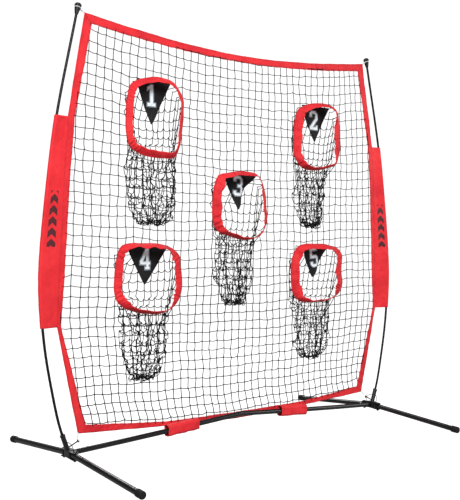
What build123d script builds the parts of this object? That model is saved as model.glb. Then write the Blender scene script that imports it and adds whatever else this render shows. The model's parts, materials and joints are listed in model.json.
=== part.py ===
from build123d import *
import math
import os
import time

os.makedirs("parts", exist_ok=True)

# A bow-framed pitching target net: two folding four-leg base hubs joined by an
# arched crossbar, two bowed fibreglass poles, and a square-mesh net with five
# pockets, each with a red rim, a hanging catch bag and a swinging number flag.
# Row frame: +X along the crossbar, -Y is the thrower's side, +Z up, origin on
# the floor midway between the two hubs.  All sizes are millimetres.

# ---------------------------------------------------------------- driving sizes
HUB_X = 1000.0          # hub axis to the centre of the object
HUB_Z = 65.0            # hub centre above the floor
PIVOT_Y = 55.0          # leg pivot bolt from the hub axis
LEG_REACH = 640.0       # foot end from the hub axis
LEG_R = 14.0            # leg tube outer radius
LEG_WALL = 1.5
FOOT_Z = 16.4           # leg axis height at the foot end
FOOT_R = 17.5           # rubber foot cap outer radius
FOOT_LEN = 40.0
BOLT_R = 4.0            # leg pivot bolt
BOLT_CLEAR = 0.05       # radial running clearance of the leg on its bolt
PLATE_T = 3.0           # yoke plate thickness
PLATE_GAP = 14.6        # half gap between the yoke plates
PLATE_HALF_W = 16.0
BLOCK_HALF_X = 17.0     # welded centre block of the hub
BLOCK_HALF_Y = 26.0
BAR_R = 12.5            # crossbar tube outer radius
BAR_WALL = 1.5
BAR_RISE = 63.0         # crossbar height gained from hub to centre
BAR_TOP_SLOPE = 0.0725   # slope of the crossbar where its halves meet
BAR_HUB_SLOPE = (BAR_RISE - 480.0 * BAR_TOP_SLOPE) / 520.0   # and at the hubs
STUB_R = 10.9           # spigots inside the crossbar tubes
STUB_WALL = 1.8
STUB_LEN = 84.0
FERRULE_HALF = 62.0
BUTTON_R = 3.5          # spring button
BUTTON_CLEAR = 0.06
BUTTON_TRAVEL = 3.2
POLE_R = 6.35           # fibreglass pole, half inch rod
SOCKET_R = 11.5         # pole socket outer radius
SOCKET_TILT = 20.0      # degrees the socket leans outwards
TIP_R = 17.0            # pole tip cap
FERRULE_POLE_R = 7.7
PANEL_T = 1.2           # net panel stand-in sheet
BAND_T = 3.0            # border webbing
RIM_DEPTH = 24.0        # how far a pocket rim stands forward
RIM_WIDTH = 34.0        # how far a rim closes in on its mouth
RIM_T = 2.6
BAG_T = 2.0
FLAG_T = 1.6
FLAG_LENS = {1: 214.0, 2: 200.0, 3: 186.0, 4: 188.0, 5: 174.0}   # hem to point
FLAG_HALF_W = 112.0
CORD_R = 1.5
HEM_CLEAR = 0.05
NET_BACK = 28.0         # how far the net's foot sits behind the top
NET_KNEE = 1500.0       # the net is upright above this height

# Bowed pole centre line from socket mouth to tip: distance from the middle, height
POLE_PTS = [(1083, 332), (1120, 532), (1133, 640), (1144, 865), (1132, 1060),
            (1108, 1282), (1063, 1612), (1008, 1882), (957, 2119)]
SOCKET_TOP = (1037.0, 153.0)
POLE_SPLITS = [760.0, 1450.0]       # heights of the two pole joints

# Net outline, right side: distance from the middle, height
EDGE_OUT = [(922, 2102), (1008, 1610), (1024, 1382), (1036, 1100), (1047, 882),
            (1054, 645), (944, 143)]
EDGE_IN = [(884, 2056), (972, 1610), (991, 1382), (1006, 1100), (1018, 882),
           (1034, 645), (904, 178)]
TOP_SAG_Z = 2025.0      # top edge height at the middle
TOP_RISE = 76.0         # extra height at the corners
SLEEVE_Z = (644.0, 1612.0)
LOOP_X = (278.0, 464.0)  # the webbing loops round the crossbar

# Pocket mouths: centre (x, height) and outer rim radius every 15 degrees,
# starting at +X and turning towards +Z
MOUTHS = {
    1: ((-535.0, 1655.0), [168, 175, 194, 202, 208, 199, 194, 190, 195, 199, 181, 171,
                           167, 175, 191, 213, 212, 206, 204, 211, 226, 203, 180, 168]),
    2: ((555.0, 1635.0), [179, 187, 200, 226, 220, 205, 195, 194, 197, 206, 193, 185,
                          180, 188, 206, 213, 210, 196, 187, 184, 191, 208, 196, 190]),
    3: ((10.0, 1230.0), [171, 175, 182, 194, 200, 189, 184, 186, 196, 218, 208, 197,
                         194, 199, 210, 203, 183, 176, 179, 187, 195, 200, 198, 186]),
    4: ((-565.0, 855.0), [198, 198, 213, 205, 190, 180, 176, 181, 203, 224, 208, 197,
                          194, 201, 206, 195, 180, 173, 172, 183, 194, 206, 210, 205]),
    5: ((572.0, 855.0), [190, 196, 221, 213, 190, 180, 175, 181, 201, 223, 222, 213,
                         206, 209, 213, 204, 179, 163, 156, 160, 168, 190, 207, 206]),
}
# Catch bag cross-sections: height from the mouth centre, half width, front, back
# (the first two heights are taken from the top of the rim, the last three from
# the bag's own lowest point)
BAG_TOP = [(4, 96, 4, 26), (-16, 124, 4, 66), (-38, 142, 4, 86)]
BAG_MIDDLE = [(90, 162, 4, 110), (0, 166, 4, 142), (-110, 158, 4, 156),
              (-190, 136, 4, 150), (-330, 122, 10, 132)]
BAG_FOOT = [(90, 104, 24, 118), (22, 72, 40, 100), (0, 42, 52, 88)]
BAG_LOW = {1: -543.0, 2: -519.0, 3: -535.0, 4: -505.0, 5: -491.0}
FLAG_HINGE_DROP = 16.0  # flag hinge below the top of its rim
FLAG_HINGE_BACK = 34.0  # flag hinge behind the net

SLOPE = math.atan2(HUB_Z - FOOT_Z, LEG_REACH)
SIDES = (("left", -1), ("right", 1))


def net_y(z):
    """Depth of the net sheet at a height: upright at the top, leaning back below."""
    return 0.0 if z >= NET_KNEE else NET_BACK * (NET_KNEE - z) / (NET_KNEE - 143.0)


T0 = time.time()


def save(name, *solids):
    print("%6.1f s  %s" % (time.time() - T0, name), flush=True)
    shape = solids[0] if len(solids) == 1 else Compound(children=list(solids))
    export_step(shape, "parts/%s.step" % name)


def rod(p, d, r, length):
    return Plane(origin=p, z_dir=d) * Cylinder(
        r, length, align=(Align.CENTER, Align.CENTER, Align.MIN))


def between(p, q, r):
    v = Vector(*q) - Vector(*p)
    return rod(p, v.normalized(), r, v.length)


def bend(path, r):
    """Round bar swept along a curved edge."""
    return sweep(Plane(origin=path @ 0, z_dir=path % 0) * Circle(r), path=path)


def along_y(points, y0, y1):
    """Prism of an x-z outline running from depth y0 to depth y1."""
    with BuildPart() as bp:
        with BuildSketch(Plane.XZ.offset(-y0)):
            with BuildLine():
                Polyline(*points, close=True)
            make_face()
        extrude(amount=-(y1 - y0))
    return bp.part.solid()


def slab_yz(thick, x0, x1, z0, z1):
    """Sheet of the net's depth profile between two heights, running along X."""
    zs = [z0] + ([NET_KNEE] if z0 < NET_KNEE < z1 else []) + [z1]
    front = [(net_y(z) - thick / 2, z) for z in zs]
    back = [(net_y(z) + thick / 2, z) for z in reversed(zs)]
    with BuildPart() as bp:
        with BuildSketch(Plane.YZ.offset(x0)):
            with BuildLine():
                Polyline(*(front + back), close=True)
            make_face()
        extrude(amount=x1 - x0)
    return bp.part.solid()


# ------------------------------------------------------------------------- base
def bar_z(x):
    """Height of the crossbar's centre line: straight ends, an even arc between."""
    u = HUB_X - abs(x)
    if u < 120:
        return HUB_Z + u * BAR_HUB_SLOPE
    if u > 920:
        return HUB_Z + BAR_RISE - abs(x) * BAR_TOP_SLOPE
    t = u - 120
    return (HUB_Z + 120 * BAR_HUB_SLOPE + t * BAR_HUB_SLOPE
            + t * t * (BAR_TOP_SLOPE - BAR_HUB_SLOPE) / 1600)


def pivot(side, s):
    return (side * HUB_X, s * PIVOT_Y, HUB_Z - PIVOT_Y * math.tan(SLOPE))


def leg_frame(side, s):
    """Frame at a leg pivot: z up the bolt, x out along the leg."""
    return Plane(origin=pivot(side, s), x_dir=(0, s * math.cos(SLOPE), -math.sin(SLOPE)),
                 z_dir=(0, s * math.sin(SLOPE), math.cos(SLOPE)))


STUB_DZ = BAR_HUB_SLOPE
HUB_END = HUB_X - BLOCK_HALF_X - 1.0
BTN_X = HUB_X - 92.0


POLES = {}


def pole_path(side):
    a = math.radians(SOCKET_TILT)
    top = Vector(side * SOCKET_TOP[0], 0, SOCKET_TOP[1])
    d = Vector(side * math.sin(a), 0, math.cos(a))
    start = top - d * 78.0
    pts = [(top.X, 0, top.Z)] + [(side * x, 0, z) for x, z in POLE_PTS]
    e = math.radians(12.0)
    straight = Line((start.X, 0, start.Z), (top.X, 0, top.Z))
    bow = Spline(*pts, tangents=[(side * math.sin(a), 0, math.cos(a)),
                                 (-side * math.sin(e), 0, math.cos(e))])
    return straight, bow, start, top, d


def pole_solid(side, r):
    """The whole bowed pole, or a coaxial bar of another radius."""
    if (side, r) not in POLES:
        _, bow, start, top, d = pole_path(side)
        POLES[(side, r)] = (rod(start, d, r, (top - start).length) + bend(bow, r)).solid()
    return POLES[(side, r)]


def pole_x(side, z):
    """Pole centre distance from the middle at a height inside the sleeve."""
    _, bow, _, _, _ = pole_path(side)
    lo, hi = 0.0, 1.0
    for _ in range(40):
        mid = (lo + hi) / 2
        if (bow @ mid).Z < z:
            lo = mid
        else:
            hi = mid
    return abs((bow @ lo).X)


def cut_z(solid, z0, z1):
    keep = Pos(0, 0, (z0 + z1) / 2) * Box(4000, 400, z1 - z0)
    return (solid & keep).solid()


for name, side in SIDES:
    hx = side * HUB_X
    a = math.radians(SOCKET_TILT)
    sd = Vector(side * math.sin(a), 0, math.cos(a))
    stop = Vector(side * SOCKET_TOP[0], 0, SOCKET_TOP[1])
    # centre block and four yoke plates
    hub = Pos(hx, 0, HUB_Z) * Box(2 * BLOCK_HALF_X, 2 * BLOCK_HALF_Y,
                                  2 * (PLATE_GAP + PLATE_T))
    hub = fillet(hub.edges().filter_by(Axis.Z), 5.0)
    for s in (-1, 1):
        fr = leg_frame(side, s)
        reach = PIVOT_Y / math.cos(SLOPE)
        for k in (-1, 1):
            zc = k * (PLATE_GAP + PLATE_T / 2)
            plate = Pos(-reach / 2, 0, zc) * Box(reach, 2 * PLATE_HALF_W, PLATE_T)
            plate += Pos(0, 0, zc) * Cylinder(PLATE_HALF_W, PLATE_T)
            hub += fr * plate
    for s in (-1, 1):
        fr = leg_frame(side, s)
        hub -= fr * Cylinder(BOLT_R + BOLT_CLEAR, 60)
        # room for the leg's inner end as it swings
        hub -= fr * Cylinder(22.0, 2 * PLATE_GAP)
    # pole socket with a rolled mouth
    base = stop - sd * 84.0
    hub += rod(base, sd, SOCKET_R, 84.0)
    hub += rod(stop - sd * 9.0, sd, SOCKET_R + 1.4, 9.0)
    # crossbar spigot
    bd = Vector(-side, 0, STUB_DZ).normalized()
    hub += rod((side * (HUB_X - 10), 0, HUB_Z + 10 * STUB_DZ), bd, STUB_R, STUB_LEN + 28)
    # ball-ended peg that holds the net's bottom corner
    ball = (side * (HUB_X - 44), 0, 115.0)
    peg0 = (side * (HUB_X + 4), 0, 92.0)
    hub += between(peg0, ball, 3.0)
    hub += Pos(*ball) * Sphere(6.2)
    # bent wire braces from the socket down to the yoke ends
    for s in (-1, 1):
        w0 = stop - sd * 34.0
        w1 = (side * (HUB_X + 10), s * 34, 112)
        w2 = (hx, s * (PIVOT_Y - 16), HUB_Z + 14)
        hub += bend(Spline((w0.X, s * 8, w0.Z), w1, w2), 1.6)
    # bores
    hub -= rod(stop - sd * 80.0, sd, POLE_R + 0.08, 90.0)
    hub -= rod((side * (HUB_X - 30), 0, HUB_Z + 30 * STUB_DZ), bd, STUB_R - STUB_WALL,
               STUB_LEN + 20)
    bz = HUB_Z + (HUB_X - abs(BTN_X)) * STUB_DZ
    bn = Vector(side * STUB_DZ, 0, 1).normalized()
    hub -= rod((side * BTN_X, 0, bz), bn, BUTTON_R + BUTTON_CLEAR, 20)
    save("hub_%s" % name, hub.solid())

    # crossbar half: straight at both ends, arched between
    a0 = Vector(side * HUB_END, 0, HUB_Z + (HUB_X - HUB_END) * STUB_DZ)
    a1 = Vector(side * (HUB_X - 120), 0, HUB_Z + 120 * STUB_DZ)
    c_slope = BAR_TOP_SLOPE
    c1 = Vector(side * 80, 0, HUB_Z + BAR_RISE - 80 * c_slope)
    c0 = Vector(side * 1.3, 0, HUB_Z + BAR_RISE - 1.3 * c_slope)
    cd = Vector(-side, 0, c_slope).normalized()
    arch = TangentArc(a1, c1, tangent=bd)
    bar = (rod(a0, bd, BAR_R, (a1 - a0).length) + bend(arch, BAR_R)
           + rod(c1, cd, BAR_R, (c0 - c1).length)).solid()
    core = (rod(a0 - bd, bd, BAR_R - BAR_WALL, (a1 - a0).length + 1)
            + bend(arch, BAR_R - BAR_WALL)
            + rod(c1, cd, BAR_R - BAR_WALL, (c0 - c1).length + 1)).solid()
    bar = (bar - core).solid()
    bar -= rod((side * BTN_X, 0, bz), bn, BUTTON_R + BUTTON_CLEAR, 20)
    if side < 0:
        cb = Vector(side * 36, 0, HUB_Z + BAR_RISE - 36 * c_slope)
        cn = Vector(side * c_slope, 0, 1).normalized()
        bar -= rod(cb, cn, BUTTON_R + BUTTON_CLEAR, 20)
    save("crossbar_%s" % name, bar.solid())

    # spring button and its leaf inside the spigot
    inner = STUB_R - STUB_WALL
    bf = Plane(origin=(side * BTN_X, 0, bz), x_dir=(1, 0, -side * STUB_DZ), z_dir=bn)
    btn = Pos(0, 0, inner - 2.2) * Cylinder(
        BUTTON_R, BAR_R + 3.2 - inner + 2.2, align=(Align.CENTER, Align.CENTER, Align.MIN))
    btn = fillet(btn.edges().group_by(Axis.Z)[-1], 2.2)
    btn += Pos(0, 0, inner - 2.9) * Cylinder(
        4.6, 1.0, align=(Align.CENTER, Align.CENTER, Align.MIN))
    save("snap_button_%s" % name, (bf * btn).solid())
    leaf = Pos(0, 0, inner - 3.4) * Box(30, 7, 0.7)
    leaf += Pos(-14.6, 0, 0) * Cylinder(1.0, 7, rotation=(90, 0, 0))
    leaf += Pos(-14.65, 0, (inner - 3.4) / 2) * Box(0.7, 7, inner - 3.4)
    leaf += Pos(-5, 0, -1.0) * Rot(0, 12, 0) * Box(20, 7, 0.7)
    save("snap_spring_%s" % name, (bf * leaf).solid())

# centre ferrule: two straight spigots meeting at the top of the arch
c_slope = BAR_TOP_SLOPE
apex = (0, 0, HUB_Z + BAR_RISE)
fer = Sphere(STUB_R)
for side in (-1, 1):
    fer += rod((0, 0, 0), Vector(side, 0, -c_slope).normalized(), STUB_R, FERRULE_HALF)
for side in (-1, 1):
    fer -= rod((0, 0, 0), Vector(side, 0, -c_slope).normalized(), STUB_R - STUB_WALL,
               FERRULE_HALF + 5)
cn = Vector(-c_slope, 0, 1).normalized()
fer = Pos(*apex) * fer
cb = Vector(-36, 0, HUB_Z + BAR_RISE - 36 * c_slope)
fer -= rod(cb, cn, BUTTON_R + BUTTON_CLEAR, 20)
save("crossbar_ferrule", fer.solid())
inner = STUB_R - STUB_WALL
bf = Plane(origin=cb, x_dir=(1, 0, c_slope), z_dir=cn)
btn = Pos(0, 0, inner - 2.2) * Cylinder(
    BUTTON_R, BAR_R + 3.2 - inner + 2.2, align=(Align.CENTER, Align.CENTER, Align.MIN))
btn = fillet(btn.edges().group_by(Axis.Z)[-1], 2.2)
btn += Pos(0, 0, inner - 2.9) * Cylinder(
    4.6, 1.0, align=(Align.CENTER, Align.CENTER, Align.MIN))
save("snap_button_centre", (bf * btn).solid())
leaf = Pos(0, 0, inner - 3.4) * Box(30, 7, 0.7)
leaf += Pos(-14.6, 0, 0) * Cylinder(1.0, 7, rotation=(90, 0, 0))
leaf += Pos(-14.65, 0, (inner - 3.4) / 2) * Box(0.7, 7, inner - 3.4)
leaf += Pos(-5, 0, -1.0) * Rot(0, 12, 0) * Box(20, 7, 0.7)
save("snap_spring_centre", (bf * leaf).solid())

# ------------------------------------------------------------------------- legs
bolts, nuts = [], []
for name, side in SIDES:
    for sname, s in (("front", -1), ("back", 1)):
        fr = leg_frame(side, s)
        length = (LEG_REACH - PIVOT_Y) / math.cos(SLOPE)
        x0, x1 = -15.0, length - 3.4
        leg = Pos((x0 + x1) / 2, 0, 0) * Rot(0, 90, 0) * Cylinder(LEG_R, x1 - x0)
        leg -= Pos((x0 + x1) / 2, 0, 0) * Rot(0, 90, 0) * Cylinder(LEG_R - LEG_WALL, x1 - x0)
        leg -= Cylinder(BOLT_R + BOLT_CLEAR, 60)
        save("leg_%s_%s" % (sname, name), (fr * leg).solid())
        # rubber cap, moulded with a flat sole that meets the floor
        cap = Pos(length - FOOT_LEN / 2, 0, 0) * Rot(0, 90, 0) * Cylinder(FOOT_R, FOOT_LEN)
        cap = fillet(cap.edges().group_by(Axis.X)[-1], 4.0)
        cap -= Pos(length - FOOT_LEN / 2 - 3.3, 0, 0) * Rot(0, 90, 0) * Cylinder(
            LEG_R + 0.02, FOOT_LEN)
        cap = fr * cap
        cap -= Pos(side * HUB_X, s * LEG_REACH, -25) * Box(100, 200, 50)
        save("foot_cap_%s_%s" % (sname, name), cap.solid())
        # pivot bolt and its locknut
        head_z = PLATE_GAP + PLATE_T
        bolt = Pos(0, 0, -head_z - 9.0) * Cylinder(
            BOLT_R, 2 * head_z + 9.0, align=(Align.CENTER, Align.CENTER, Align.MIN))
        head = Pos(0, 0, head_z) * Cylinder(7.5, 4.4, align=(Align.CENTER, Align.CENTER,
                                                            Align.MIN))
        head = fillet(head.edges().group_by(Axis.Z)[-1], 3.0)
        bolts.append((fr * (bolt + head)).solid())
        with BuildPart() as nb:
            with BuildSketch(Plane.XY.offset(-head_z - 7.0)):
                RegularPolygon(7.5, 6)
            extrude(amount=7.0)
        nut = nb.part - Cylinder(BOLT_R + 0.02, 80)
        nuts.append((fr * nut).solid())
save("pivot_bolts", *bolts)
save("pivot_nuts", *nuts)

# ------------------------------------------------------------------------ poles
ferrules = []
for name, side in SIDES:
    whole = pole_solid(side, POLE_R)
    zs = [0.0] + POLE_SPLITS + [2200.0]
    for i, part in enumerate(("lower", "middle", "upper")):
        save("pole_%s_%s" % (part, name),
             cut_z(whole, zs[i] + (0.1 if i else 0), zs[i + 1] - (0.1 if i < 2 else 0)))
    collar = pole_solid(side, FERRULE_POLE_R)
    bore = pole_solid(side, POLE_R + 0.03)
    for z in POLE_SPLITS:
        ferrules.append((cut_z(collar, z - 42, z + 42) - cut_z(bore, z - 60, z + 60)).solid())

    # moulded tip: cone, neck groove for the elastic loop, mushroom head
    _, bow, _, _, _ = pole_path(side)
    end, d = bow @ 1, (bow % 1).normalized()
    with BuildPart() as tp:
        with BuildSketch(Plane.XZ):
            with BuildLine():
                Polyline((0, 22), (0, 0.6), (POLE_R + 0.05, 0.6), (POLE_R + 0.05, -32),
                         (8.6, -32), (9.6, -26), (14.2, -5), (14.2, -3), (9.8, -2.2),
                         (9.8, 2.6), (15.6, 3.6), (TIP_R, 8), (TIP_R - 0.6, 12),
                         (14.4, 15.8), (11.2, 18.8), (7.0, 20.8), (3.0, 21.8), close=True)
            make_face()
        revolve(axis=Axis.Z)
    save("pole_tip_%s" % name,
         (Plane(origin=end, x_dir=(d.Z, 0, -d.X), z_dir=d) * tp.part).solid())
save("pole_ferrules", *ferrules)

# ------------------------------------------------------- net, border and sleeves
def top_z(x):
    return TOP_SAG_Z + TOP_RISE * (abs(x) / EDGE_OUT[0][0]) ** 1.75


def top_in_z(x):
    t = min(abs(x) / EDGE_IN[0][0], 1.0)
    return top_z(x) - (34.0 + 8.0 * t)


def bot_out_z(x):
    ax = abs(x)
    return 101 + (14 * (ax / 463) ** 2 if ax < 463 else 14 + 28 * (ax - 463) / 481)


def bot_in_z(x):
    ax = abs(x)
    return 134 + (4 * (ax / 463) ** 2 if ax < 463 else 4 + 40 * (ax - 463) / 441)


N = 12
g = 0.3                    # hairline gap between sewn neighbours
xs = [EDGE_OUT[0][0] * (-1 + 2 * i / N) for i in range(N + 1)]
xi = [EDGE_IN[0][0] * (-1 + 2 * i / N) for i in range(N + 1)]
top_poly = [(x, top_z(x)) for x in xs] + [(x, top_in_z(x)) for x in reversed(xi)]
band = along_y(top_poly, -60, 60) & slab_yz(BAND_T, -1200, 1200, 1800, 2200)
save("band_top", band.solid())

xs = [EDGE_OUT[-1][0] * (-1 + 2 * i / N) for i in range(N + 1)]
xi = [EDGE_IN[-1][0] * (-1 + 2 * i / N) for i in range(N + 1)]
bot_poly = [(x, bot_out_z(x)) for x in xs] + [(x, bot_in_z(x)) for x in reversed(xi)]
band = along_y(bot_poly, -60, 60) & slab_yz(BAND_T, -1200, 1200, 60, 300)
save("band_bottom", band.solid())

ti = top_in_z(EDGE_IN[0][0])
for name, side in SIDES:
    out = [(side * x, z) for x, z in EDGE_OUT]
    inn = [(side * x, z) for x, z in EDGE_IN]
    out[0] = (out[0][0], top_z(out[0][0]))
    inn[0] = (inn[0][0], ti)
    # the mitres stand a hairline clear of the top and bottom bands
    out[0] = (out[0][0] + side * g, out[0][1] - 2 * g)
    inn[0] = (inn[0][0] + side * 0.2, inn[0][1] - 2 * g)
    inn[-1] = (inn[-1][0] + side * 0.2, bot_in_z(inn[-1][0]) + 2 * g)
    out[-1] = (out[-1][0] + side * g, bot_out_z(out[-1][0]) + 2 * g)
    band = along_y(out + inn[::-1], -60, 60) & slab_yz(BAND_T, -1200, 1200, 60, 2200)
    save("band_%s" % name, band.solid())

pitch_in = [(x - g, z) for x, z in EDGE_IN[1:-1]]
xi = [(EDGE_IN[0][0] - g) * (-1 + 2 * i / N) for i in range(N + 1)]
xb = [(EDGE_IN[-1][0] - g) * (-1 + 2 * i / N) for i in range(N + 1)]
outline = [(x, top_in_z(x) - g) for x in xi] + pitch_in
outline += [(x, bot_in_z(x) + g) for x in reversed(xb)]
outline += [(-x, z) for x, z in reversed(pitch_in)]
panel = along_y(outline, -60, 60) & slab_yz(PANEL_T, -1200, 1200, 60, 2200)


def mouth_face(k, y, shrink=0.0, origin_y=0.0):
    (cx, cz), radii = MOUTHS[k]
    pts = []
    for i, r in enumerate(radii):
        t = math.radians(15 * i)
        pts.append((cx + (r - shrink) * math.cos(t), cz + (r - shrink) * math.sin(t)))
    with BuildSketch(Plane.XZ.offset(-y)) as sk:
        with BuildLine():
            Spline(*pts, periodic=True)
        make_face()
    return sk.sketch.face()


for k in MOUTHS:
    panel = panel - extrude(mouth_face(k, 80, -1.2), amount=160, dir=(0, -1, 0))
save("net_panel", panel.solid())

# fabric sleeves on the poles
for name, side in SIDES:
    heights = [SLEEVE_Z[0], 800, 960, 1120, 1280, 1450, SLEEVE_Z[1]]
    secs = []
    for z in heights:
        xp = pole_x(side, z)
        xe = None
        for (xa, za), (xb_, zb) in zip(EDGE_OUT, EDGE_OUT[1:]):
            if zb <= z <= za:
                xe = xa + (xb_ - xa) * (za - z) / (za - zb)
        if xe is None:
            xe = 1008.0
        xe += 1.0
        r = 9.6
        y = net_y(z)
        pts = [(xe, y - 1.5), (xp - 4, -r), (xp + 4, -r * 0.94), (xp + r * 0.92, -r * 0.4),
               (xp + r * 0.92, r * 0.4), (xp + 4, r * 0.94), (xp - 4, r), (xe, y + 1.5)]
        pts = [(side * px, py) for px, py in pts]
        with BuildSketch(Plane.XY.offset(z)) as sk:
            with BuildLine():
                Polyline(*pts, close=True)
            make_face()
        secs.append(sk.sketch.face())
    sleeve = loft(secs)
    sleeve = sleeve - pole_solid(side, POLE_R + 0.25)
    for z in POLE_SPLITS:
        sleeve = sleeve - cut_z(pole_solid(side, FERRULE_POLE_R + 0.1), z - 44, z + 44)
    save("sleeve_%s" % name, sleeve.solid())

    # webbing loop round the crossbar and the bottom band
    zc = bar_z((LOOP_X[0] + LOOP_X[1]) / 2)
    slope = -side * (bar_z(LOOP_X[0]) - bar_z(LOOP_X[1])) / (LOOP_X[1] - LOOP_X[0])
    w = LOOP_X[1] - LOOP_X[0]
    with BuildPart() as lp:
        with BuildSketch(Plane.YZ.offset(-w / 2)):
            with Locations((5.2, 0)):
                RectangleRounded(42.4, 56, 14)
                RectangleRounded(39.4, 53, 12.5, mode=Mode.SUBTRACT)
        extrude(amount=w)
    lp = Pos(side * (LOOP_X[0] + LOOP_X[1]) / 2, 0, zc + 1) * Rot(
        0, -math.degrees(math.atan(slope)), 0) * lp.part
    save("bar_loop_%s" % name, lp.solid())

# ---------------------------------------------------------------------- pockets
flag_cords = []
for k, ((cx, cz), radii) in MOUTHS.items():
    y0 = net_y(cz)
    tilt = Pos(0, y0, cz) * Rot(math.degrees(math.atan2(NET_BACK, NET_KNEE - 143.0))
                                if cz < NET_KNEE else 0, 0, 0) * Pos(0, 0, -cz)
    outer = loft([mouth_face(k, 1.0, 0.0), mouth_face(k, -RIM_DEPTH, RIM_WIDTH)])
    innr = loft([mouth_face(k, 1.2, RIM_T), mouth_face(k, -RIM_DEPTH - 0.2,
                                                       RIM_WIDTH + RIM_T)])
    rim = outer - innr
    save("pocket_rim_%d" % k, (tilt * rim).solid())

    def section(z, a, f, b, t):
        a, f, b = a - t, f + t, b - t
        pts = []
        for i in range(14):
            ang = 2 * math.pi * i / 14
            c, s_ = math.cos(ang), math.sin(ang)
            px = a * math.copysign(abs(c) ** 0.75, c)
            py = (f + b) / 2 + (b - f) / 2 * math.copysign(abs(s_) ** 0.75, s_)
            pts.append((cx + px, y0 + py))
        with BuildSketch(Plane.XY.offset(cz + z)) as sk:
            with BuildLine():
                Spline(*pts, periodic=True)
            make_face()
        return sk.sketch.face()

    lean = 3.0 + (5.0 if cz < NET_KNEE else 0.0)
    rows = [(radii[6] + z, a, f, b) for z, a, f, b in BAG_TOP] + BAG_MIDDLE
    rows += [(BAG_LOW[k] + z, a, f, b) for z, a, f, b in BAG_FOOT]
    secs = [(z, a, f + lean, b) for z, a, f, b in rows]
    shell = loft([section(z, a, f, b, 0) for z, a, f, b in secs])
    ins = [(z + (-2 if i == 0 else (2 if i == len(secs) - 1 else 0)), a, f, b)
           for i, (z, a, f, b) in enumerate(secs)]
    hollow = loft([section(z, a, f, b, BAG_T) for z, a, f, b in ins])
    shell = shell - hollow
    shell = shell - extrude(mouth_face(k, y0 + 30, 22.0), amount=60, dir=(0, -1, 0))
    save("pocket_bag_%d" % k, max(shell.solids(), key=lambda v: v.volume))

    # number flag: hem tube on a thin cord across the top of the mouth
    yh, zh = y0 + FLAG_HINGE_BACK, cz + radii[6] - FLAG_HINGE_DROP
    length = FLAG_LENS[k]
    flag = Rot(0, 90, 0) * Cylinder(4.0, 2 * (FLAG_HALF_W - 14))
    with BuildPart() as tri:
        with BuildSketch(Plane.XZ.offset(-FLAG_T / 2)):
            with BuildLine():
                Polyline((-(FLAG_HALF_W - 14), 0), (-(FLAG_HALF_W - 14), -14),
                         (-4, -length), (4, -length), (FLAG_HALF_W - 14, -14),
                         (FLAG_HALF_W - 14, 0), close=True)
            make_face()
        extrude(amount=FLAG_T)
    flag = flag + tri.part
    flag = flag - Rot(0, 90, 0) * Cylinder(CORD_R + HEM_CLEAR, 400)
    save("number_flag_%d" % k, (Pos(cx, yh, zh) * flag).solid())
    flag_cords.append((Pos(cx, yh, zh) * Rot(0, 90, 0) * Cylinder(CORD_R, 2 * 123.0)).solid())
save("flag_cords", *flag_cords)

# ----------------------------------------------------------------- corner cords
top_cords, bottom_cords = [], []
for name, side in SIDES:
    _, bow, _, _, _ = pole_path(side)
    end, d = bow @ 1, (bow % 1).normalized()
    ring = Plane(origin=end + d * 0.2, z_dir=d) * Torus(9.9 + CORD_R, CORD_R)
    c0 = Vector(end.X - side * 10.4, -4.0, end.Z - 2)
    c1 = (side * 912.0, -5.2, 2090.0)
    link = between((c0.X, c0.Y, c0.Z), c1, CORD_R) + Pos(*c1) * Sphere(CORD_R)
    top_cords.append((ring + link).solid())
    ball = (side * (HUB_X - 44), 0, 115.0)
    e1 = (side * 938.0, net_y(150) - 5.4, 152.0)
    away = (Vector(*e1) - Vector(*ball)).normalized()
    peg = Vector(side * 48.0, 0, -23.0).normalized()
    ring = Plane(origin=ball, z_dir=peg) * Torus(6.5 + CORD_R, CORD_R)
    p0 = Vector(*ball) + (away - peg * away.dot(peg)).normalized() * 8.0
    link = between((p0.X, p0.Y, p0.Z), e1, CORD_R) + Pos(*e1) * Sphere(CORD_R)
    bottom_cords.append((ring + link).solid())
save("corner_cords_top", *top_cords)
save("corner_cords_bottom", *bottom_cords)
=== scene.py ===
import json
import math

import bpy
import numpy as np
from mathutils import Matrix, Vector, geometry


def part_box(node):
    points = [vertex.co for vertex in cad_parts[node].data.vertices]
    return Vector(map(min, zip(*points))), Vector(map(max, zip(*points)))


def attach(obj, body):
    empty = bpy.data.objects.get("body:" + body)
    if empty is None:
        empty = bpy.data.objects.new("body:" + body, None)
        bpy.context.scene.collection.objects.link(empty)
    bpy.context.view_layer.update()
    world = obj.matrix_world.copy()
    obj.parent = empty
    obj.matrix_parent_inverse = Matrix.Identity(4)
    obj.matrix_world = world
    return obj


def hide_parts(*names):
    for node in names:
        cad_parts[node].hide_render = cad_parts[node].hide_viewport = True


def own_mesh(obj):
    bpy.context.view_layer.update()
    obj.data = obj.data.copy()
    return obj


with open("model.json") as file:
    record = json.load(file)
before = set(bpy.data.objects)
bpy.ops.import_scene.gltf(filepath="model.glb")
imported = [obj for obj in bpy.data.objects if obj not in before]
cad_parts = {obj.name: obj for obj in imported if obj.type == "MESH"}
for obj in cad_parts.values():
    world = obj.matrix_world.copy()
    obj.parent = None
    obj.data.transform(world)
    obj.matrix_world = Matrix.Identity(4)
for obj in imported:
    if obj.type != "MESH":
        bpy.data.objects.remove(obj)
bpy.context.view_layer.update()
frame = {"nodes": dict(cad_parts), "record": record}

ROOT = "base_and_net"

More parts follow.
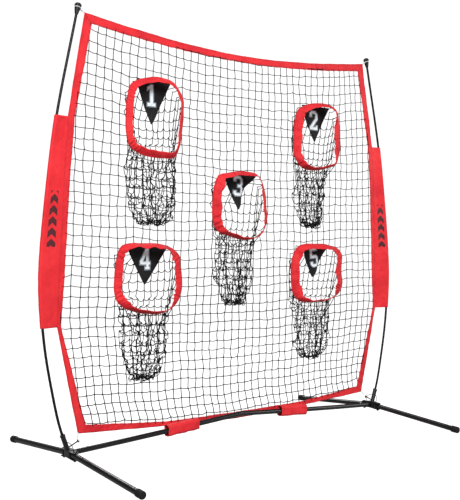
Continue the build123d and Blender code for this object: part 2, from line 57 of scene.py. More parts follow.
# ---------------------------------------------------------------- driving sizes
# Metres, in the row frame: +X along the crossbar, -Y towards the thrower, +Z up.
CELL = 0.0473                  # mesh of the net, knot to knot
STRAND_R = 0.0019              # twine radius
BAG_R = 0.0020                 # the bags are of a heavier twine
NET_BACK, NET_KNEE, NET_FOOT = 0.028, 1.500, 0.143
POLE_PTS = [(1.083, .332), (1.120, .532), (1.133, .640), (1.144, .865), (1.132, 1.060),
            (1.108, 1.282), (1.063, 1.612), (1.008, 1.882), (.957, 2.119)]
SOCKET_TOP = (1.037, .153)
EDGE_OUT = [(.922, 2.102), (1.008, 1.610), (1.024, 1.382), (1.036, 1.100), (1.047, .882),
            (1.054, .645), (.944, .143)]
EDGE_IN = [(.884, 2.056), (.972, 1.610), (.991, 1.382), (1.006, 1.100), (1.018, .882),
           (1.034, .645), (.904, .178)]
SLEEVE_Z = (.644, 1.612)
LOOP_X = (.278, .464)
HINGE_BACK, HINGE_DROP = .034, .016
MOUTHS = {
    1: ((-.535, 1.655), [168, 175, 194, 202, 208, 199, 194, 190, 195, 199, 181, 171,
                         167, 175, 191, 213, 212, 206, 204, 211, 226, 203, 180, 168]),
    2: ((.555, 1.635), [179, 187, 200, 226, 220, 205, 195, 194, 197, 206, 193, 185,
                        180, 188, 206, 213, 210, 196, 187, 184, 191, 208, 196, 190]),
    3: ((.010, 1.230), [171, 175, 182, 194, 200, 189, 184, 186, 196, 218, 208, 197,
                        194, 199, 210, 203, 183, 176, 179, 187, 195, 200, 198, 186]),
    4: ((-.565, .855), [198, 198, 213, 205, 190, 180, 176, 181, 203, 224, 208, 197,
                        194, 201, 206, 195, 180, 173, 172, 183, 194, 206, 210, 205]),
    5: ((.572, .855), [190, 196, 221, 213, 190, 180, 175, 181, 201, 223, 222, 213,
                       206, 209, 213, 204, 179, 163, 156, 160, 168, 190, 207, 206]),
}
# how wide the rim tape looks and how far it stands forward: sides, top, bottom
RIM_TAPE = {1: ((.032, .019), (.031, .034), (.029, .024)),
            2: ((.053, .013), (.029, .036), (.016, .043)),
            3: ((.0405, .027), (.024, .038), (.013, .045)),
            4: ((.042, .006), (.023, .038), (.017, .040)),
            5: ((.0555, .012), (.030, .035), (.014, .045))}
BAG_LOW = {1: -.543, 2: -.519, 3: -.535, 4: -.505, 5: -.491}
FLAG_LEN = {1: .214, 2: .200, 3: .186, 4: .188, 5: .174}
FLAG_HALF = {1: .098, 2: .098, 3: .098, 4: .110, 5: .092}


def net_y(z):
    z = np.asarray(z, float)
    return np.where(z >= NET_KNEE, 0.0, NET_BACK * (NET_KNEE - z) / (NET_KNEE - NET_FOOT))


def top_z(x):
    return 2.025 + .076 * (np.abs(x) / .922) ** 1.75


def top_in_z(x):
    return top_z(x) - (.034 + .008 * np.minimum(np.abs(x) / .884, 1.0))


def bot_out_z(x):
    ax = np.abs(x)
    return .101 + np.where(ax < .463, .014 * (ax / .463) ** 2, .014 + .028 * (ax - .463) / .481)


def bot_in_z(x):
    ax = np.abs(x)
    return .134 + np.where(ax < .463, .004 * (ax / .463) ** 2, .004 + .040 * (ax - .463) / .441)


def edge_x(table, z):
    """Distance from the middle of a side edge, at a height."""
    zs = np.array([p[1] for p in table][::-1])
    xs = np.array([p[0] for p in table][::-1])
    return np.interp(z, zs, xs)


# ---------------------------------------------------------------- smooth noise
def wob(seed, *coords):
    """Smooth seeded wobble of about unit size; each coordinate is in wavelengths."""
    rng = np.random.default_rng(seed)
    total = 0.0
    for k in range(5):
        phase = rng.uniform(0, 2 * math.pi)
        arg = phase
        for c in coords:
            arg = arg + np.asarray(c, float) * 2 * math.pi * rng.uniform(-1.35, 1.35)
        total = total + np.sin(arg) / (1.0 + .35 * k)
    return total / 2.2


def smooth(t):
    t = np.clip(t, 0.0, 1.0)
    return t * t * (3 - 2 * t)


def spline(pts, n, closed=False):
    """Catmull-Rom curve (centripetal enough for close, even points) through pts."""
    p = np.array(pts, float)
    if closed:
        q = np.vstack([p[-1:], p, p[:2]])
        segs = len(p)
    else:
        q = np.vstack([2 * p[:1] - p[1:2], p, 2 * p[-1:] - p[-2:-1]])
        segs = len(p) - 1
    t = np.linspace(0, segs, n, endpoint=not closed)
    i = np.minimum(t.astype(int), segs - 1)
    f = (t - i)[:, None]
    a, b, c, d = q[i], q[i + 1], q[i + 2], q[i + 3]
    return .5 * ((2 * b) + (-a + c) * f + (2 * a - 5 * b + 4 * c - d) * f ** 2
                 + (-a + 3 * b - 3 * c + d) * f ** 3)


def resample(line, step=None, n=None):
    line = np.asarray(line, float)
    seg = np.linalg.norm(np.diff(line, axis=0), axis=1)
    s = np.concatenate([[0], np.cumsum(seg)])
    if n is None:
        n = max(2, int(round(s[-1] / step)) + 1)
    t = np.linspace(0, s[-1], n)
    return np.stack([np.interp(t, s, line[:, k]) for k in range(line.shape[1])], axis=1), t


def polar(radii, theta):
    """Rim radius at an angle, periodic cubic through the 24 table radii, metres."""
    r = np.array(radii, float) / 1000.0
    t = np.mod(np.asarray(theta, float), 2 * math.pi) / (math.pi / 12)
    i = np.floor(t).astype(int)
    f = t - i
    a, b, c, d = r[(i - 1) % 24], r[i % 24], r[(i + 1) % 24], r[(i + 2) % 24]
    return .5 * ((2 * b) + (-a + c) * f + (2 * a - 5 * b + 4 * c - d) * f ** 2
                 + (-a + 3 * b - 3 * c + d) * f ** 3)


# ---------------------------------------------------------------- mesh helpers
def volume_of(verts, faces):
    v = np.asarray(verts, float)
    total = 0.0
    if isinstance(faces, np.ndarray):
        a, b, c, d = (v[faces[:, k]] for k in range(4))
        total = np.einsum("ij,ij->i", a, np.cross(b, c)).sum() + \
            np.einsum("ij,ij->i", a, np.cross(c, d)).sum()
    return total


def make(name, verts, faces, mat, body=ROOT, slot=None, uv=None, repl=(), smooth_shade=True,
         caps=(), sharp=None):
    """A mesh piece. faces is an (n, 4) array; caps are extra polygons, given the UV (0, 0)."""
    verts = np.asarray(verts, float)
    faces = np.asarray(faces, int)
    if volume_of(verts, faces) < 0:
        faces = faces[:, ::-1]
        if uv is not None:
            uv = uv[:, ::-1]
        caps = [list(c)[::-1] for c in caps]
    me = bpy.data.meshes.new(name)
    me.from_pydata(verts.tolist(), [], faces.tolist() + [list(map(int, c)) for c in caps])
    if uv is not None:
        layer = me.uv_layers.new(name="UVMap")
        flat = np.zeros((len(me.loops), 2))
        flat[:uv.shape[0] * 4] = uv.reshape(-1, 2)
        layer.data.foreach_set("uv", flat.ravel())
    if smooth_shade:
        me.polygons.foreach_set("use_smooth", [True] * len(me.polygons))
    me.materials.append(mat)
    me.update()
    ob = bpy.data.objects.new(name, me)
    bpy.context.scene.collection.objects.link(ob)
    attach(ob, body)
    if repl:
        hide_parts(*repl)
    return ob


def grid_faces(nu, nv, wrap_u=False, wrap_v=False, base=0):
    """Quads of a grid whose vertex (i, j) is base + i * nv + j, with unwrapped corner indices."""
    mu = nu if wrap_u else nu - 1
    mv = nv if wrap_v else nv - 1
    i, j = np.meshgrid(np.arange(mu), np.arange(mv), indexing="ij")
    i, j = i.ravel(), j.ravel()
    ci = np.stack([i, i + 1, i + 1, i], axis=1)
    cj = np.stack([j, j, j + 1, j + 1], axis=1)
    ids = base + (ci % nu) * nv + (cj % nv)
    return ids, ci, cj


def ribbon_mesh(P, half, closed_u=False, U=None, V=None):
    """Closed shell round a mid surface P (nu, nv, 3): half is the half thickness, (nu, nv).
    The two side edges are rounded. Returns verts, faces, uv, caps."""
    nu, nv, _ = P.shape
    if closed_u:
        du = np.roll(P, -1, 0) - np.roll(P, 1, 0)
    else:
        du = np.gradient(P, axis=0)
    dv = np.gradient(P, axis=1)
    nrm = np.cross(du, dv)
    nrm /= np.maximum(np.linalg.norm(nrm, axis=2, keepdims=True), 1e-12)
    half = np.broadcast_to(half, (nu, nv))[..., None]
    up, dn = P + nrm * half, P - nrm * half
    edge0 = P[:, :1] - dv[:, :1] / np.maximum(np.linalg.norm(dv[:, :1], axis=2, keepdims=True), 1e-12) * half[:, :1] * .8
    edge1 = P[:, -1:] + dv[:, -1:] / np.maximum(np.linalg.norm(dv[:, -1:], axis=2, keepdims=True), 1e-12) * half[:, -1:] * .8
    loop = np.concatenate([edge0, up, edge1, dn[:, ::-1]], axis=1)      # (nu, 2nv+2, 3)
    m = loop.shape[1]
    faces, ci, cj = grid_faces(nu, m, closed_u, True)
    if U is None:
        c = P[:, nv // 2]
        seg = np.linalg.norm(np.diff(c, axis=0), axis=1)
        U = np.concatenate([[0], np.cumsum(seg)])
    if closed_u and len(U) == nu:
        U = np.append(U, U[-1] + np.linalg.norm(P[0, nv // 2] - P[-1, nv // 2]))
    if V is None:
        V = np.linspace(0, 1, nv)
    Vl = np.concatenate([[V[0]], V, [V[-1]], V[::-1], [V[0]]])
    uv = np.stack([np.asarray(U)[ci], Vl[cj]], axis=2)
    caps = []
    if not closed_u:
        for row, flip in ((0, False), (nu - 1, True)):
            ids = [row * m + k for k in range(m)]
            caps.append(ids[::-1] if not flip else ids)
    verts = loop.reshape(-1, 3)
    return verts, faces, uv, caps


def tube_mesh(lines, radii, sides=6):
    """Round strands along polylines, capped at both ends, as one vertex set."""
    allv, allf, alluv, caps = [], [], [], []
    base = 0
    ang = np.arange(sides) * 2 * math.pi / sides
    ca, sa = np.cos(ang), np.sin(ang)
    for line, rad in zip(lines, radii):
        line = np.asarray(line, float)
        n = len(line)
        if n < 2:
            continue
        rad = np.broadcast_to(rad, (n,))
        tan = np.gradient(line, axis=0)
        tan /= np.maximum(np.linalg.norm(tan, axis=1, keepdims=True), 1e-12)
        ref = np.array([0, 1.0, 0]) if abs(tan[0][1]) < .8 else np.array([1.0, 0, 0])
        fr = np.empty((n, 3))
        cur = ref
        for k in range(n):
            t = tan[k]
            cur = cur - t * float(cur @ t)
            ln = math.sqrt(float(cur @ cur))
            if ln < 1e-4:
                cur = np.cross(t, (1, 0, 0))
                ln = math.sqrt(float(cur @ cur)) or 1.0
            cur = cur / ln
            fr[k] = cur
        bi = np.cross(tan, fr)
        ring = line[:, None] + rad[:, None, None] * (fr[:, None] * ca[None, :, None]
                                                     + bi[:, None] * sa[None, :, None])
        f, ci, cj = grid_faces(n, sides, False, True, base)
        s = np.concatenate([[0], np.cumsum(np.linalg.norm(np.diff(line, axis=0), axis=1))])
        allv.append(ring.reshape(-1, 3))
        allf.append(f)
        alluv.append(np.stack([s[ci], cj / sides * 2 * math.pi * .0012], axis=2))
        caps.append([base + k for k in range(sides)][::-1])
        caps.append([base + (n - 1) * sides + k for k in range(sides)])
        base += n * sides
    v, f, uv = np.concatenate(allv), np.concatenate(allf), np.concatenate(alluv)
    return v, f, uv, caps


def tubes(name, lines, radii, mat, sides=6, **kw):
    v, f, uv, caps = tube_mesh(lines, radii, sides)
    return make(name, v, f, mat, uv=uv, caps=caps, **kw)


def join(parts):
    """Several (verts, faces, uv, caps) sets as one."""
    vs, fs, us, cs, base = [], [], [], [], 0
    for v, f, u, c in parts:
        if volume_of(v, f) < 0:
            f, u, c = f[:, ::-1], u[:, ::-1], [list(k)[::-1] for k in c]
        vs.append(v)
        fs.append(f + base)
        us.append(u)
        cs += [[k + base for k in poly] for poly in c]
        base += len(v)
    return np.concatenate(vs), np.concatenate(fs), np.concatenate(us), cs


# ---------------------------------------------------------------- materials
class Nodes:
    """Small helper for building node materials."""

    def __init__(self, name):
        self.mat = bpy.data.materials.new(name)
        self.mat.use_nodes = True
        self.t = self.mat.node_tree
        self.t.nodes.clear()
        self.out = self.t.nodes.new("ShaderNodeOutputMaterial")
        self.bsdf = self.t.nodes.new("ShaderNodeBsdfPrincipled")
        self.link(self.bsdf.outputs[0], self.out.inputs[0])

    def new(self, kind, **props):
        n = self.t.nodes.new(kind)
        for k, v in props.items():
            setattr(n, k, v)
        return n

    def link(self, a, b):
        self.t.links.new(a, b)

    def put(self, socket, value):
        if hasattr(value, "is_output"):
            self.link(value, socket)
        else:
            socket.default_value = value

    def math(self, op, a, b=0.0, c=0.0, clamp=False):
        n = self.new("ShaderNodeMath", operation=op, use_clamp=clamp)
        for i, v in enumerate((a, b, c)):
            if i < len(n.inputs):
                self.put(n.inputs[i], v)
        return n.outputs[0]

    def uv(self):
        tc = self.new("ShaderNodeTexCoord")
        sep = self.new("ShaderNodeSeparateXYZ")
        self.link(tc.outputs["UV"], sep.inputs[0])
        return tc.outputs["UV"], sep.outputs[0], sep.outputs[1]

    def place(self):
        tc = self.new("ShaderNodeTexCoord")
        sep = self.new("ShaderNodeSeparateXYZ")
        self.link(tc.outputs["Object"], sep.inputs[0])
        return tc.outputs["Object"], sep.outputs

    def noise(self, vector, scale, detail=3.0, rough=.55, stretch=None):
        if stretch:
            mp = self.new("ShaderNodeMapping")
            mp.inputs["Scale"].default_value = stretch
            self.link(vector, mp.inputs["Vector"])
            vector = mp.outputs[0]
        n = self.new("ShaderNodeTexNoise")
        n.inputs["Scale"].default_value = scale
        n.inputs["Detail"].default_value = detail
        n.inputs["Roughness"].default_value = rough
        self.link(vector, n.inputs["Vector"])
        return n.outputs["Fac"]

    def ramp(self, fac, stops):
        r = self.new("ShaderNodeValToRGB")
        el = r.color_ramp.elements
        while len(el) < len(stops):
            el.new(.5)
        for e, (p, c) in zip(el, stops):
            e.position = p
            e.color = (*c, 1)
        self.link(fac, r.inputs[0])
        return r.outputs[0]

    def mix(self, fac, a, b, kind="MIX"):
        n = self.new("ShaderNodeMix", data_type="RGBA", blend_type=kind)
        self.put(n.inputs["Factor"], fac)
        for key, v in ((6, a), (7, b)):
            if hasattr(v, "is_output"):
                self.link(v, n.inputs[key])
            else:
                n.inputs[key].default_value = (*v, 1) if len(v) == 3 else v
        return n.outputs[2]

    def bump(self, height, dist, strength=1.0, normal=None):
        b = self.new("ShaderNodeBump")
        b.inputs["Strength"].default_value = strength
        b.inputs["Distance"].default_value = dist
        self.link(height, b.inputs["Height"])
        if normal is not None:
            self.link(normal, b.inputs["Normal"])
        return b.outputs[0]

    def set(self, **kw):
        names = {"color": "Base Color", "rough": "Roughness", "metal": "Metallic",
                 "coat": "Coat Weight", "coat_rough": "Coat Roughness", "sheen": "Sheen Weight",
                 "sheen_rough": "Sheen Roughness", "spec": "Specular IOR Level",
                 "normal": "Normal", "sub": "Subsurface Weight", "aniso": "Anisotropic",
                 "trans": "Transmission Weight", "sheen_tint": "Sheen Tint"}
        for k, v in kw.items():
            s = self.bsdf.inputs[names[k]]
            if k in ("color", "sheen_tint") and not hasattr(v, "is_output"):
                s.default_value = (*v, 1)
            else:
                self.put(s, v)
        return self.mat


def band_mask(n, value, centre, half):
    """1 where value is within half of centre."""
    d = n.math("ABSOLUTE", n.math("SUBTRACT", value, centre))
    return n.math("LESS_THAN", d, half)


def stitch_mask(n, u, v, rows, pitch=.0042, fill=.72, half=.0007):
    dash = n.math("LESS_THAN", n.math("FRACT", n.math("DIVIDE", u, pitch)), fill)
    total = None
    for v0 in rows:
        m = band_mask(n, v, v0, half)
        total = m if total is None else n.math("MAXIMUM", total, m)
    return n.math("MULTIPLY", dash, total)


def weave_height(n, u, v, pitch):
    """Plain weave: threads over and under in turn."""
    su = n.math("SINE", n.math("MULTIPLY", u, 2 * math.pi / pitch))
    sv = n.math("SINE", n.math("MULTIPLY", v, 2 * math.pi / pitch))
    return n.math("MULTIPLY", su, sv)


def cloth(name, base, dark, light, rows=(), pitch=.0011, rough=.58, sheen=.10, fold=.0014,
          thread=None, marks=False, weave_amount=.10, spec=.28, sheen_tint=(1, .55, .5)):
    n = Nodes(name)
    uvv, u, v = n.uv()
    obj, _ = n.place()
    big = n.noise(obj, 5.5, 3.0, .6)
    mid = n.noise(obj, 46.0, 4.0, .62)
    fine = n.noise(obj, 900.0, 2.0, .7)
    col = n.ramp(big, [(.32, dark), (.52, base), (.72, light)])
    col = n.mix(n.math("MULTIPLY", n.math("SUBTRACT", mid, .42, clamp=True), .9), col, dark)
    wv = weave_height(n, u, v, pitch)
    shade = n.math("ADD", .5, n.math("MULTIPLY", wv, .5))
    col = n.mix(n.math("MULTIPLY", n.math("SUBTRACT", 1.0, shade), weave_amount), col, (dark[0] * .6, dark[1] * .6, dark[2] * .6))
    dust = n.math("MULTIPLY", n.math("SUBTRACT", fine, .64, clamp=True), .9)
    col = n.mix(dust, col, tuple(min(1.0, c * 1.3 + .05) for c in light))
    rg = n.math("ADD", rough - .10, n.math("MULTIPLY", mid, .24))
    height = n.math("ADD", n.math("MULTIPLY", wv, .12), n.math("MULTIPLY", mid, 1.0))
    nb = n.bump(height, fold, .55)
    nb = n.bump(fine, .0002, .35, nb)
    if rows:
        st = stitch_mask(n, u, v, rows)
        groove = None
        for v0 in rows:
            m = band_mask(n, v, v0, .0019)
            groove = m if groove is None else n.math("MAXIMUM", groove, m)
        # painted shade: the cloth is darkened along the stitch grooves, where shade falls
        col = n.mix(n.math("MULTIPLY", groove, .30), col, (dark[0] * .55, dark[1] * .5, dark[2] * .5))
        col = n.mix(n.math("MULTIPLY", st, .8), col, thread or light)
        nb = n.bump(n.math("SUBTRACT", st, n.math("MULTIPLY", groove, .8)), .0007, .8, nb)
    if marks:
        inside = band_mask(n, v, marks[0], marks[1])
        zone = band_mask(n, u, marks[2], marks[3])
        saw = n.math("FRACT", n.math("DIVIDE", n.math("ADD", u, n.math("MULTIPLY", n.math(
            "ABSOLUTE", n.math("SUBTRACT", v, marks[0])), .9)), marks[4]))
        chev = n.math("LESS_THAN", saw, .60)
        mk = n.math("MULTIPLY", n.math("MULTIPLY", inside, zone), chev)
        col = n.mix(n.math("MULTIPLY", mk, .92), col, (.022, .014, .018))
        rg = n.math("SUBTRACT", rg, n.math("MULTIPLY", mk, .12))
    return n.set(color=col, rough=rg, sheen=sheen, sheen_rough=.45, normal=nb, spec=spec,
                 sheen_tint=sheen_tint)


def mat_net():
    n = Nodes("net_twine")
    uvv, u, v = n.uv()
    obj, _ = n.place()
    twist = n.math("SINE", n.math("ADD", n.math("MULTIPLY", u, 2 * math.pi / .0052),
                                  n.math("MULTIPLY", v, 2 * math.pi * 2 / .00754)))
    big = n.noise(obj, 7.0, 3.0)
    fuzz = n.noise(obj, 1300.0, 2.0, .7)
    col = n.ramp(big, [(.3, (.004, .004, .005)), (.55, (.007, .007, .008)), (.75, (.013, .013, .014))])
    # painted highlight: the twine is lightened on the raised ridges of its twist
    col = n.mix(n.math("MULTIPLY", n.math("ADD", twist, 1.0), .12), col, (.02, .02, .021))
    col = n.mix(n.math("MULTIPLY", n.math("SUBTRACT", fuzz, .62, clamp=True), .8), col, (.06, .06, .06))
    nb = n.bump(twist, .0004, .7)
    nb = n.bump(fuzz, .0002, .3, nb)
    return n.set(color=col, rough=n.math("ADD", .60, n.math("MULTIPLY", fuzz, .2)), sheen=.02, normal=nb, spec=.2)


def mat_coat(name="powder_coat_black", base=(.0045, .0045, .005), rough=.30):
    n = Nodes(name)
    obj, s = n.place()
    peel = n.noise(obj, 420.0, 2.0, .5)
    grime = n.noise(obj, 9.0, 4.0, .6)
    scr = n.noise(obj, 60.0, 5.0, .7, stretch=(1.0, .12, 1.0))
    col = n.ramp(grime, [(.3, base), (.6, tuple(c * 1.5 for c in base)), (.8, tuple(c * 2.4 for c in base))])
    wear = n.math("MULTIPLY", n.math("SUBTRACT", scr, .68, clamp=True), 2.6)
    col = n.mix(wear, col, (.06, .06, .064))
    rg = n.math("ADD", rough, n.math("MULTIPLY", grime, .16))
    nb = n.bump(peel, .00025, .42)
    return n.set(color=col, rough=rg, coat=.15, coat_rough=.25, normal=nb, spec=.5)


def mat_fibre():
    n = Nodes("fibreglass_black")
    obj, s = n.place()
    streak = n.noise(obj, 160.0, 3.0, .6, stretch=(1.0, 1.0, .03))
    big = n.noise(obj, 5.0, 3.0)
    col = n.ramp(streak, [(.3, (.0035, .0035, .004)), (.6, (.006, .006, .0065)), (.8, (.010, .010, .011))])
    rg = n.math("ADD", .20, n.math("MULTIPLY", big, .16))
    nb = n.bump(streak, .00012, .3)
    return n.set(color=col, rough=n.math("ADD", rg, .22), coat=.04, coat_rough=.25, normal=nb, spec=.25)


def mat_rubber():
    n = Nodes("moulded_rubber")
    obj, s = n.place()
    grain = n.noise(obj, 700.0, 3.0, .6)
    big = n.noise(obj, 18.0, 4.0, .65)
    col = n.ramp(big, [(.3, (.006, .006, .006)), (.6, (.011, .011, .011)), (.8, (.028, .027, .026))])
    rg = n.math("ADD", .62, n.math("MULTIPLY", grain, .22))
    return n.set(color=col, rough=rg, normal=n.bump(grain, .00025, .5), spec=.3)


def mat_metal(name, base, rough=.3, brushed=True):
    n = Nodes(name)
    obj, s = n.place()
    br = n.noise(obj, 900.0, 2.0, .6, stretch=(1.0, 1.0, .05) if brushed else None)
    big = n.noise(obj, 30.0, 4.0, .6)
    col = n.ramp(big, [(.3, tuple(c * .72 for c in base)), (.55, base), (.8, tuple(min(1, c * 1.15) for c in base))])
    rg = n.math("ADD", rough, n.math("MULTIPLY", br, .18))
    return n.set(color=col, metal=.95, rough=rg, normal=n.bump(br, .0001, .35))


def mat_plastic(name, base, rough=.42):
    n = Nodes(name)
    obj, s = n.place()
    grain = n.noise(obj, 850.0, 2.0, .5)
    big = n.noise(obj, 22.0, 3.0, .6)
    col = n.ramp(big, [(.3, tuple(c * .8 for c in base)), (.6, base), (.82, tuple(c * 1.8 for c in base))])
    rg = n.math("ADD", rough, n.math("MULTIPLY", big, .18))
    return n.set(color=col, rough=rg, normal=n.bump(grain, .00015, .4))


def mat_cord(name, a, b, pitch=.003, rough=.6):
    n = Nodes(name)
    uvv, u, v = n.uv()
    obj, _ = n.place()
    k = 2 * math.pi / pitch
    s1 = n.math("SINE", n.math("MULTIPLY", n.math("ADD", u, v), k))
    s2 = n.math("SINE", n.math("MULTIPLY", n.math("SUBTRACT", u, v), k))
    br = n.math("MULTIPLY", s1, s2)
    fuzz = n.noise(obj, 1100.0, 2.0, .7)
    # painted light and shade: the raised strands of the braid take the lighter colour a, the hollows between them the
    # darker b
    col = n.mix(n.math("MULTIPLY", n.math("ADD", br, 1.0), .5), b, a)
    col = n.mix(n.math("MULTIPLY", n.math("SUBTRACT", fuzz, .58, clamp=True), 1.4), col, tuple(c * .6 for c in a))
    return n.set(color=col, rough=rough, sheen=.3, normal=n.bump(br, .0004, .7))


def mat_print(name, base, grime):
    n = Nodes(name)
    obj, _ = n.place()
    big = n.noise(obj, 38.0, 4.0, .62)
    fine = n.noise(obj, 700.0, 2.0, .6)
    col = n.ramp(big, [(.3, grime), (.5, base), (.8, tuple(min(1, c * 1.04) for c in base))])
    col = n.mix(n.math("MULTIPLY", n.math("SUBTRACT", fine, .60, clamp=True), 2.2), col, grime)
    return n.set(color=col, rough=n.math("ADD", .45, n.math("MULTIPLY", fine, .25)),
                 normal=n.bump(fine, .0002, .5))


RED, RED_D, RED_L = (.80, .020, .030), (.60, .010, .020), (.90, .034, .038)
M = {}
M["band"] = cloth("border_tape", RED, RED_D, RED_L, rows=(.0035, .0065, .0335, .0365))
M["rim"] = cloth("rim_tape", RED, RED_D, RED_L, rows=(.0045, .0075), fold=.0022)
M["sleeve"] = cloth("sleeve_cloth", (.84, .021, .031), (.70, .012, .022), (.92, .036, .040),
                    fold=.0016, marks=(.0, .0225, 1.14, .128, .051))
M["loop"] = cloth("webbing", RED, RED_D, RED_L, rows=(.012, .016, .176, .180), pitch=.0022)
M["flag"] = cloth("flag_oxford", (.0075, .0075, .0085), (.004, .004, .0045), (.016, .016, .018),
                  rows=(.010, .186), sheen=.04, fold=.0012, thread=(.03, .03, .033), rough=.60,
                  sheen_tint=(1, 1, 1), spec=.22)
M["net"] = mat_net()
M["coat"] = mat_coat()
M["fastener"] = mat_coat("black_zinc", (.010, .010, .011), .26)
M["fibre"] = mat_fibre()
M["rubber"] = mat_rubber()
M["zinc"] = mat_metal("bright_zinc", (.60, .61, .62))
M["ferrule"] = mat_metal("drawn_ferrule", (.34, .34, .35), .28)
M["tip"] = mat_plastic("tip_moulding", (.007, .007, .008))
M["cord"] = mat_cord("black_braid", (.045, .045, .048), (.012, .012, .013))
M["elastic"] = mat_cord("white_elastic", (.82, .82, .80), (.55, .55, .56), .0022)
M["white"] = mat_print("white_print", (.80, .89, .91), (.66, .72, .74))
M["silver"] = mat_print("silver_print", (.20, .23, .27), (.13, .15, .18))

SLOT_MAT = {"powder_coat": "coat", "black_fastener": "fastener", "zinc_steel": "zinc",
            "pole_ferrule_metal": "ferrule", "tip_plastic": "tip", "fibreglass": "fibre",
            "foot_rubber": "rubber", "sleeve_fabric": "sleeve", "border_webbing": "band",
            "rim_fabric": "rim", "knotless_net": "net", "flag_fabric": "flag",
            "black_cord": "cord", "elastic_cord": "elastic"}
for part in frame["record"]["subparts"]:
    node = frame["nodes"][part["node"]]
    node.data.materials.clear()
    node.data.materials.append(M[SLOT_MAT[part["material_slot"]]])


# ---------------------------------------------------------------- poles as built
def crossing_mid(names, heights):
    """Middle of a rod's x extent at each height, from the CAD mesh edges."""
    out = []
    segs = []
    for nm in names:
        me = frame["nodes"][nm].data
        co = np.empty(len(me.vertices) * 3)
        me.vertices.foreach_get("co", co)
        co = co.reshape(-1, 3)
        ed = np.empty(len(me.edges) * 2, int)
        me.edges.foreach_get("vertices", ed)
        ed = ed.reshape(-1, 2)
        segs.append((co[ed[:, 0]], co[ed[:, 1]]))
    a = np.concatenate([s[0] for s in segs])
    b = np.concatenate([s[1] for s in segs])
    for h in heights:
        m = (a[:, 2] - h) * (b[:, 2] - h) < 0
        if m.sum() < 3:
            out.append(np.nan)
            continue
        t = (h - a[m, 2]) / (b[m, 2] - a[m, 2])
        x = a[m, 0] + (b[m, 0] - a[m, 0]) * t
        out.append((x.min() + x.max()) / 2)
    out = np.array(out)
    ok = ~np.isnan(out)
    return np.interp(heights, np.asarray(heights)[ok], out[ok])


HUB_Z, BAR_RISE, BAR_TOP = .065, .063, .0725
BAR_HUB = (BAR_RISE - .480 * BAR_TOP) / .520


def bar_z(x):
    """Height of the crossbar's centre line: straight ends, an even arc between."""
    u = 1.0 - abs(x)
    if u < .12:
        return HUB_Z + u * BAR_HUB
    if u > .92:
        return HUB_Z + BAR_RISE - abs(x) * BAR_TOP
    t = u - .12
    return HUB_Z + .12 * BAR_HUB + t * BAR_HUB + t * t * (BAR_TOP - BAR_HUB) / 1.6


# ---------------------------------------------------------------- border tapes
def side_band(side, name):
    n, nv = 300, 13
    z1 = float(top_z(.922))
    s = np.linspace(0, 1, n)
    v = np.linspace(0, 1, nv)
    P = np.zeros((n, nv, 3))
    for j, t in enumerate(v):
        za = .178 + (.143 - .178) * t                 # bottom mitre, inner to outer
        zb = 2.0165 + (z1 - 2.0165) * t if False else float(top_in_z(.884)) + (z1 - float(top_in_z(.884))) * t
        z = za + (zb - za) * s
        x = edge_x(EDGE_IN, z) * (1 - t) + edge_x(EDGE_OUT, z) * t
        if t < .5:
            x = x + (.0005 * np.cos(2 * math.pi * z / CELL) + .0007 * wob(11 + side, z / .16)) * (1 - 2 * t)
        else:
            x = x + .0006 * wob(15 + side, z / .20) * (2 * t - 1)
        y = net_y(z) + .0016 * wob(21 + side, z / .13, t * .6) + .0011 * wob(25 + side, z / .035 + t * .8)
        P[:, j] = np.stack([side * x, y, z], axis=1)
    half = np.full((n, nv), .00125)
    half[:, 0] = half[:, -1] = .0009
    half[:, 1] = half[:, -2] = .0016
    wd = .037
    m, f, uv, caps = ribbon_mesh(P, half, V=v * wd + .0015)
    return make(name, m, f, M["band"], slot="border_webbing", uv=uv, caps=caps,
                repl=("band_left" if side < 0 else "band_right",))


side_band(-1, "border_left")
side_band(1, "border_right")


def long_band(name, zo, zi, xo, xi, seed, repl, wd):
    n, nv = 420, 13
    s = np.linspace(-1, 1, n)
    v = np.linspace(0, 1, nv)
    P = np.zeros((n, nv, 3))
    for j, t in enumerate(v):
        xa = xi * s * (1 - t) + xo * s * t
        z = zi(xi * s) * (1 - t) + zo(xo * s) * t
        z = z + (.0006 * np.cos(2 * math.pi * xa / CELL) + .0010 * wob(seed, xa / .14)) * max(0, 1 - 2 * t) \
            + .0014 * wob(seed + 1, xa / .15) * max(0, 2 * t - 1)
        y = net_y(z) + .0018 * wob(seed + 2, xa / .14, t * .6) + .0012 * wob(seed + 3, xa / .037 + t * .8)
        P[:, j] = np.stack([xa, y, z], axis=1)
    half = np.full((n, nv), .00125)
    half[:, 0] = half[:, -1] = .0009
    half[:, 1] = half[:, -2] = .0016
    m, f, uv, caps = ribbon_mesh(P, half, V=v * wd + .0015)
    return make(name, m, f, M["band"], slot="border_webbing", uv=uv, caps=caps, repl=(repl,))


long_band("border_top", top_z, top_in_z, .9243, .8890, 31, "band_top", .037)
long_band("border_bottom", bot_out_z, bot_in_z, .9455, .9055, 41, "band_bottom", .034)


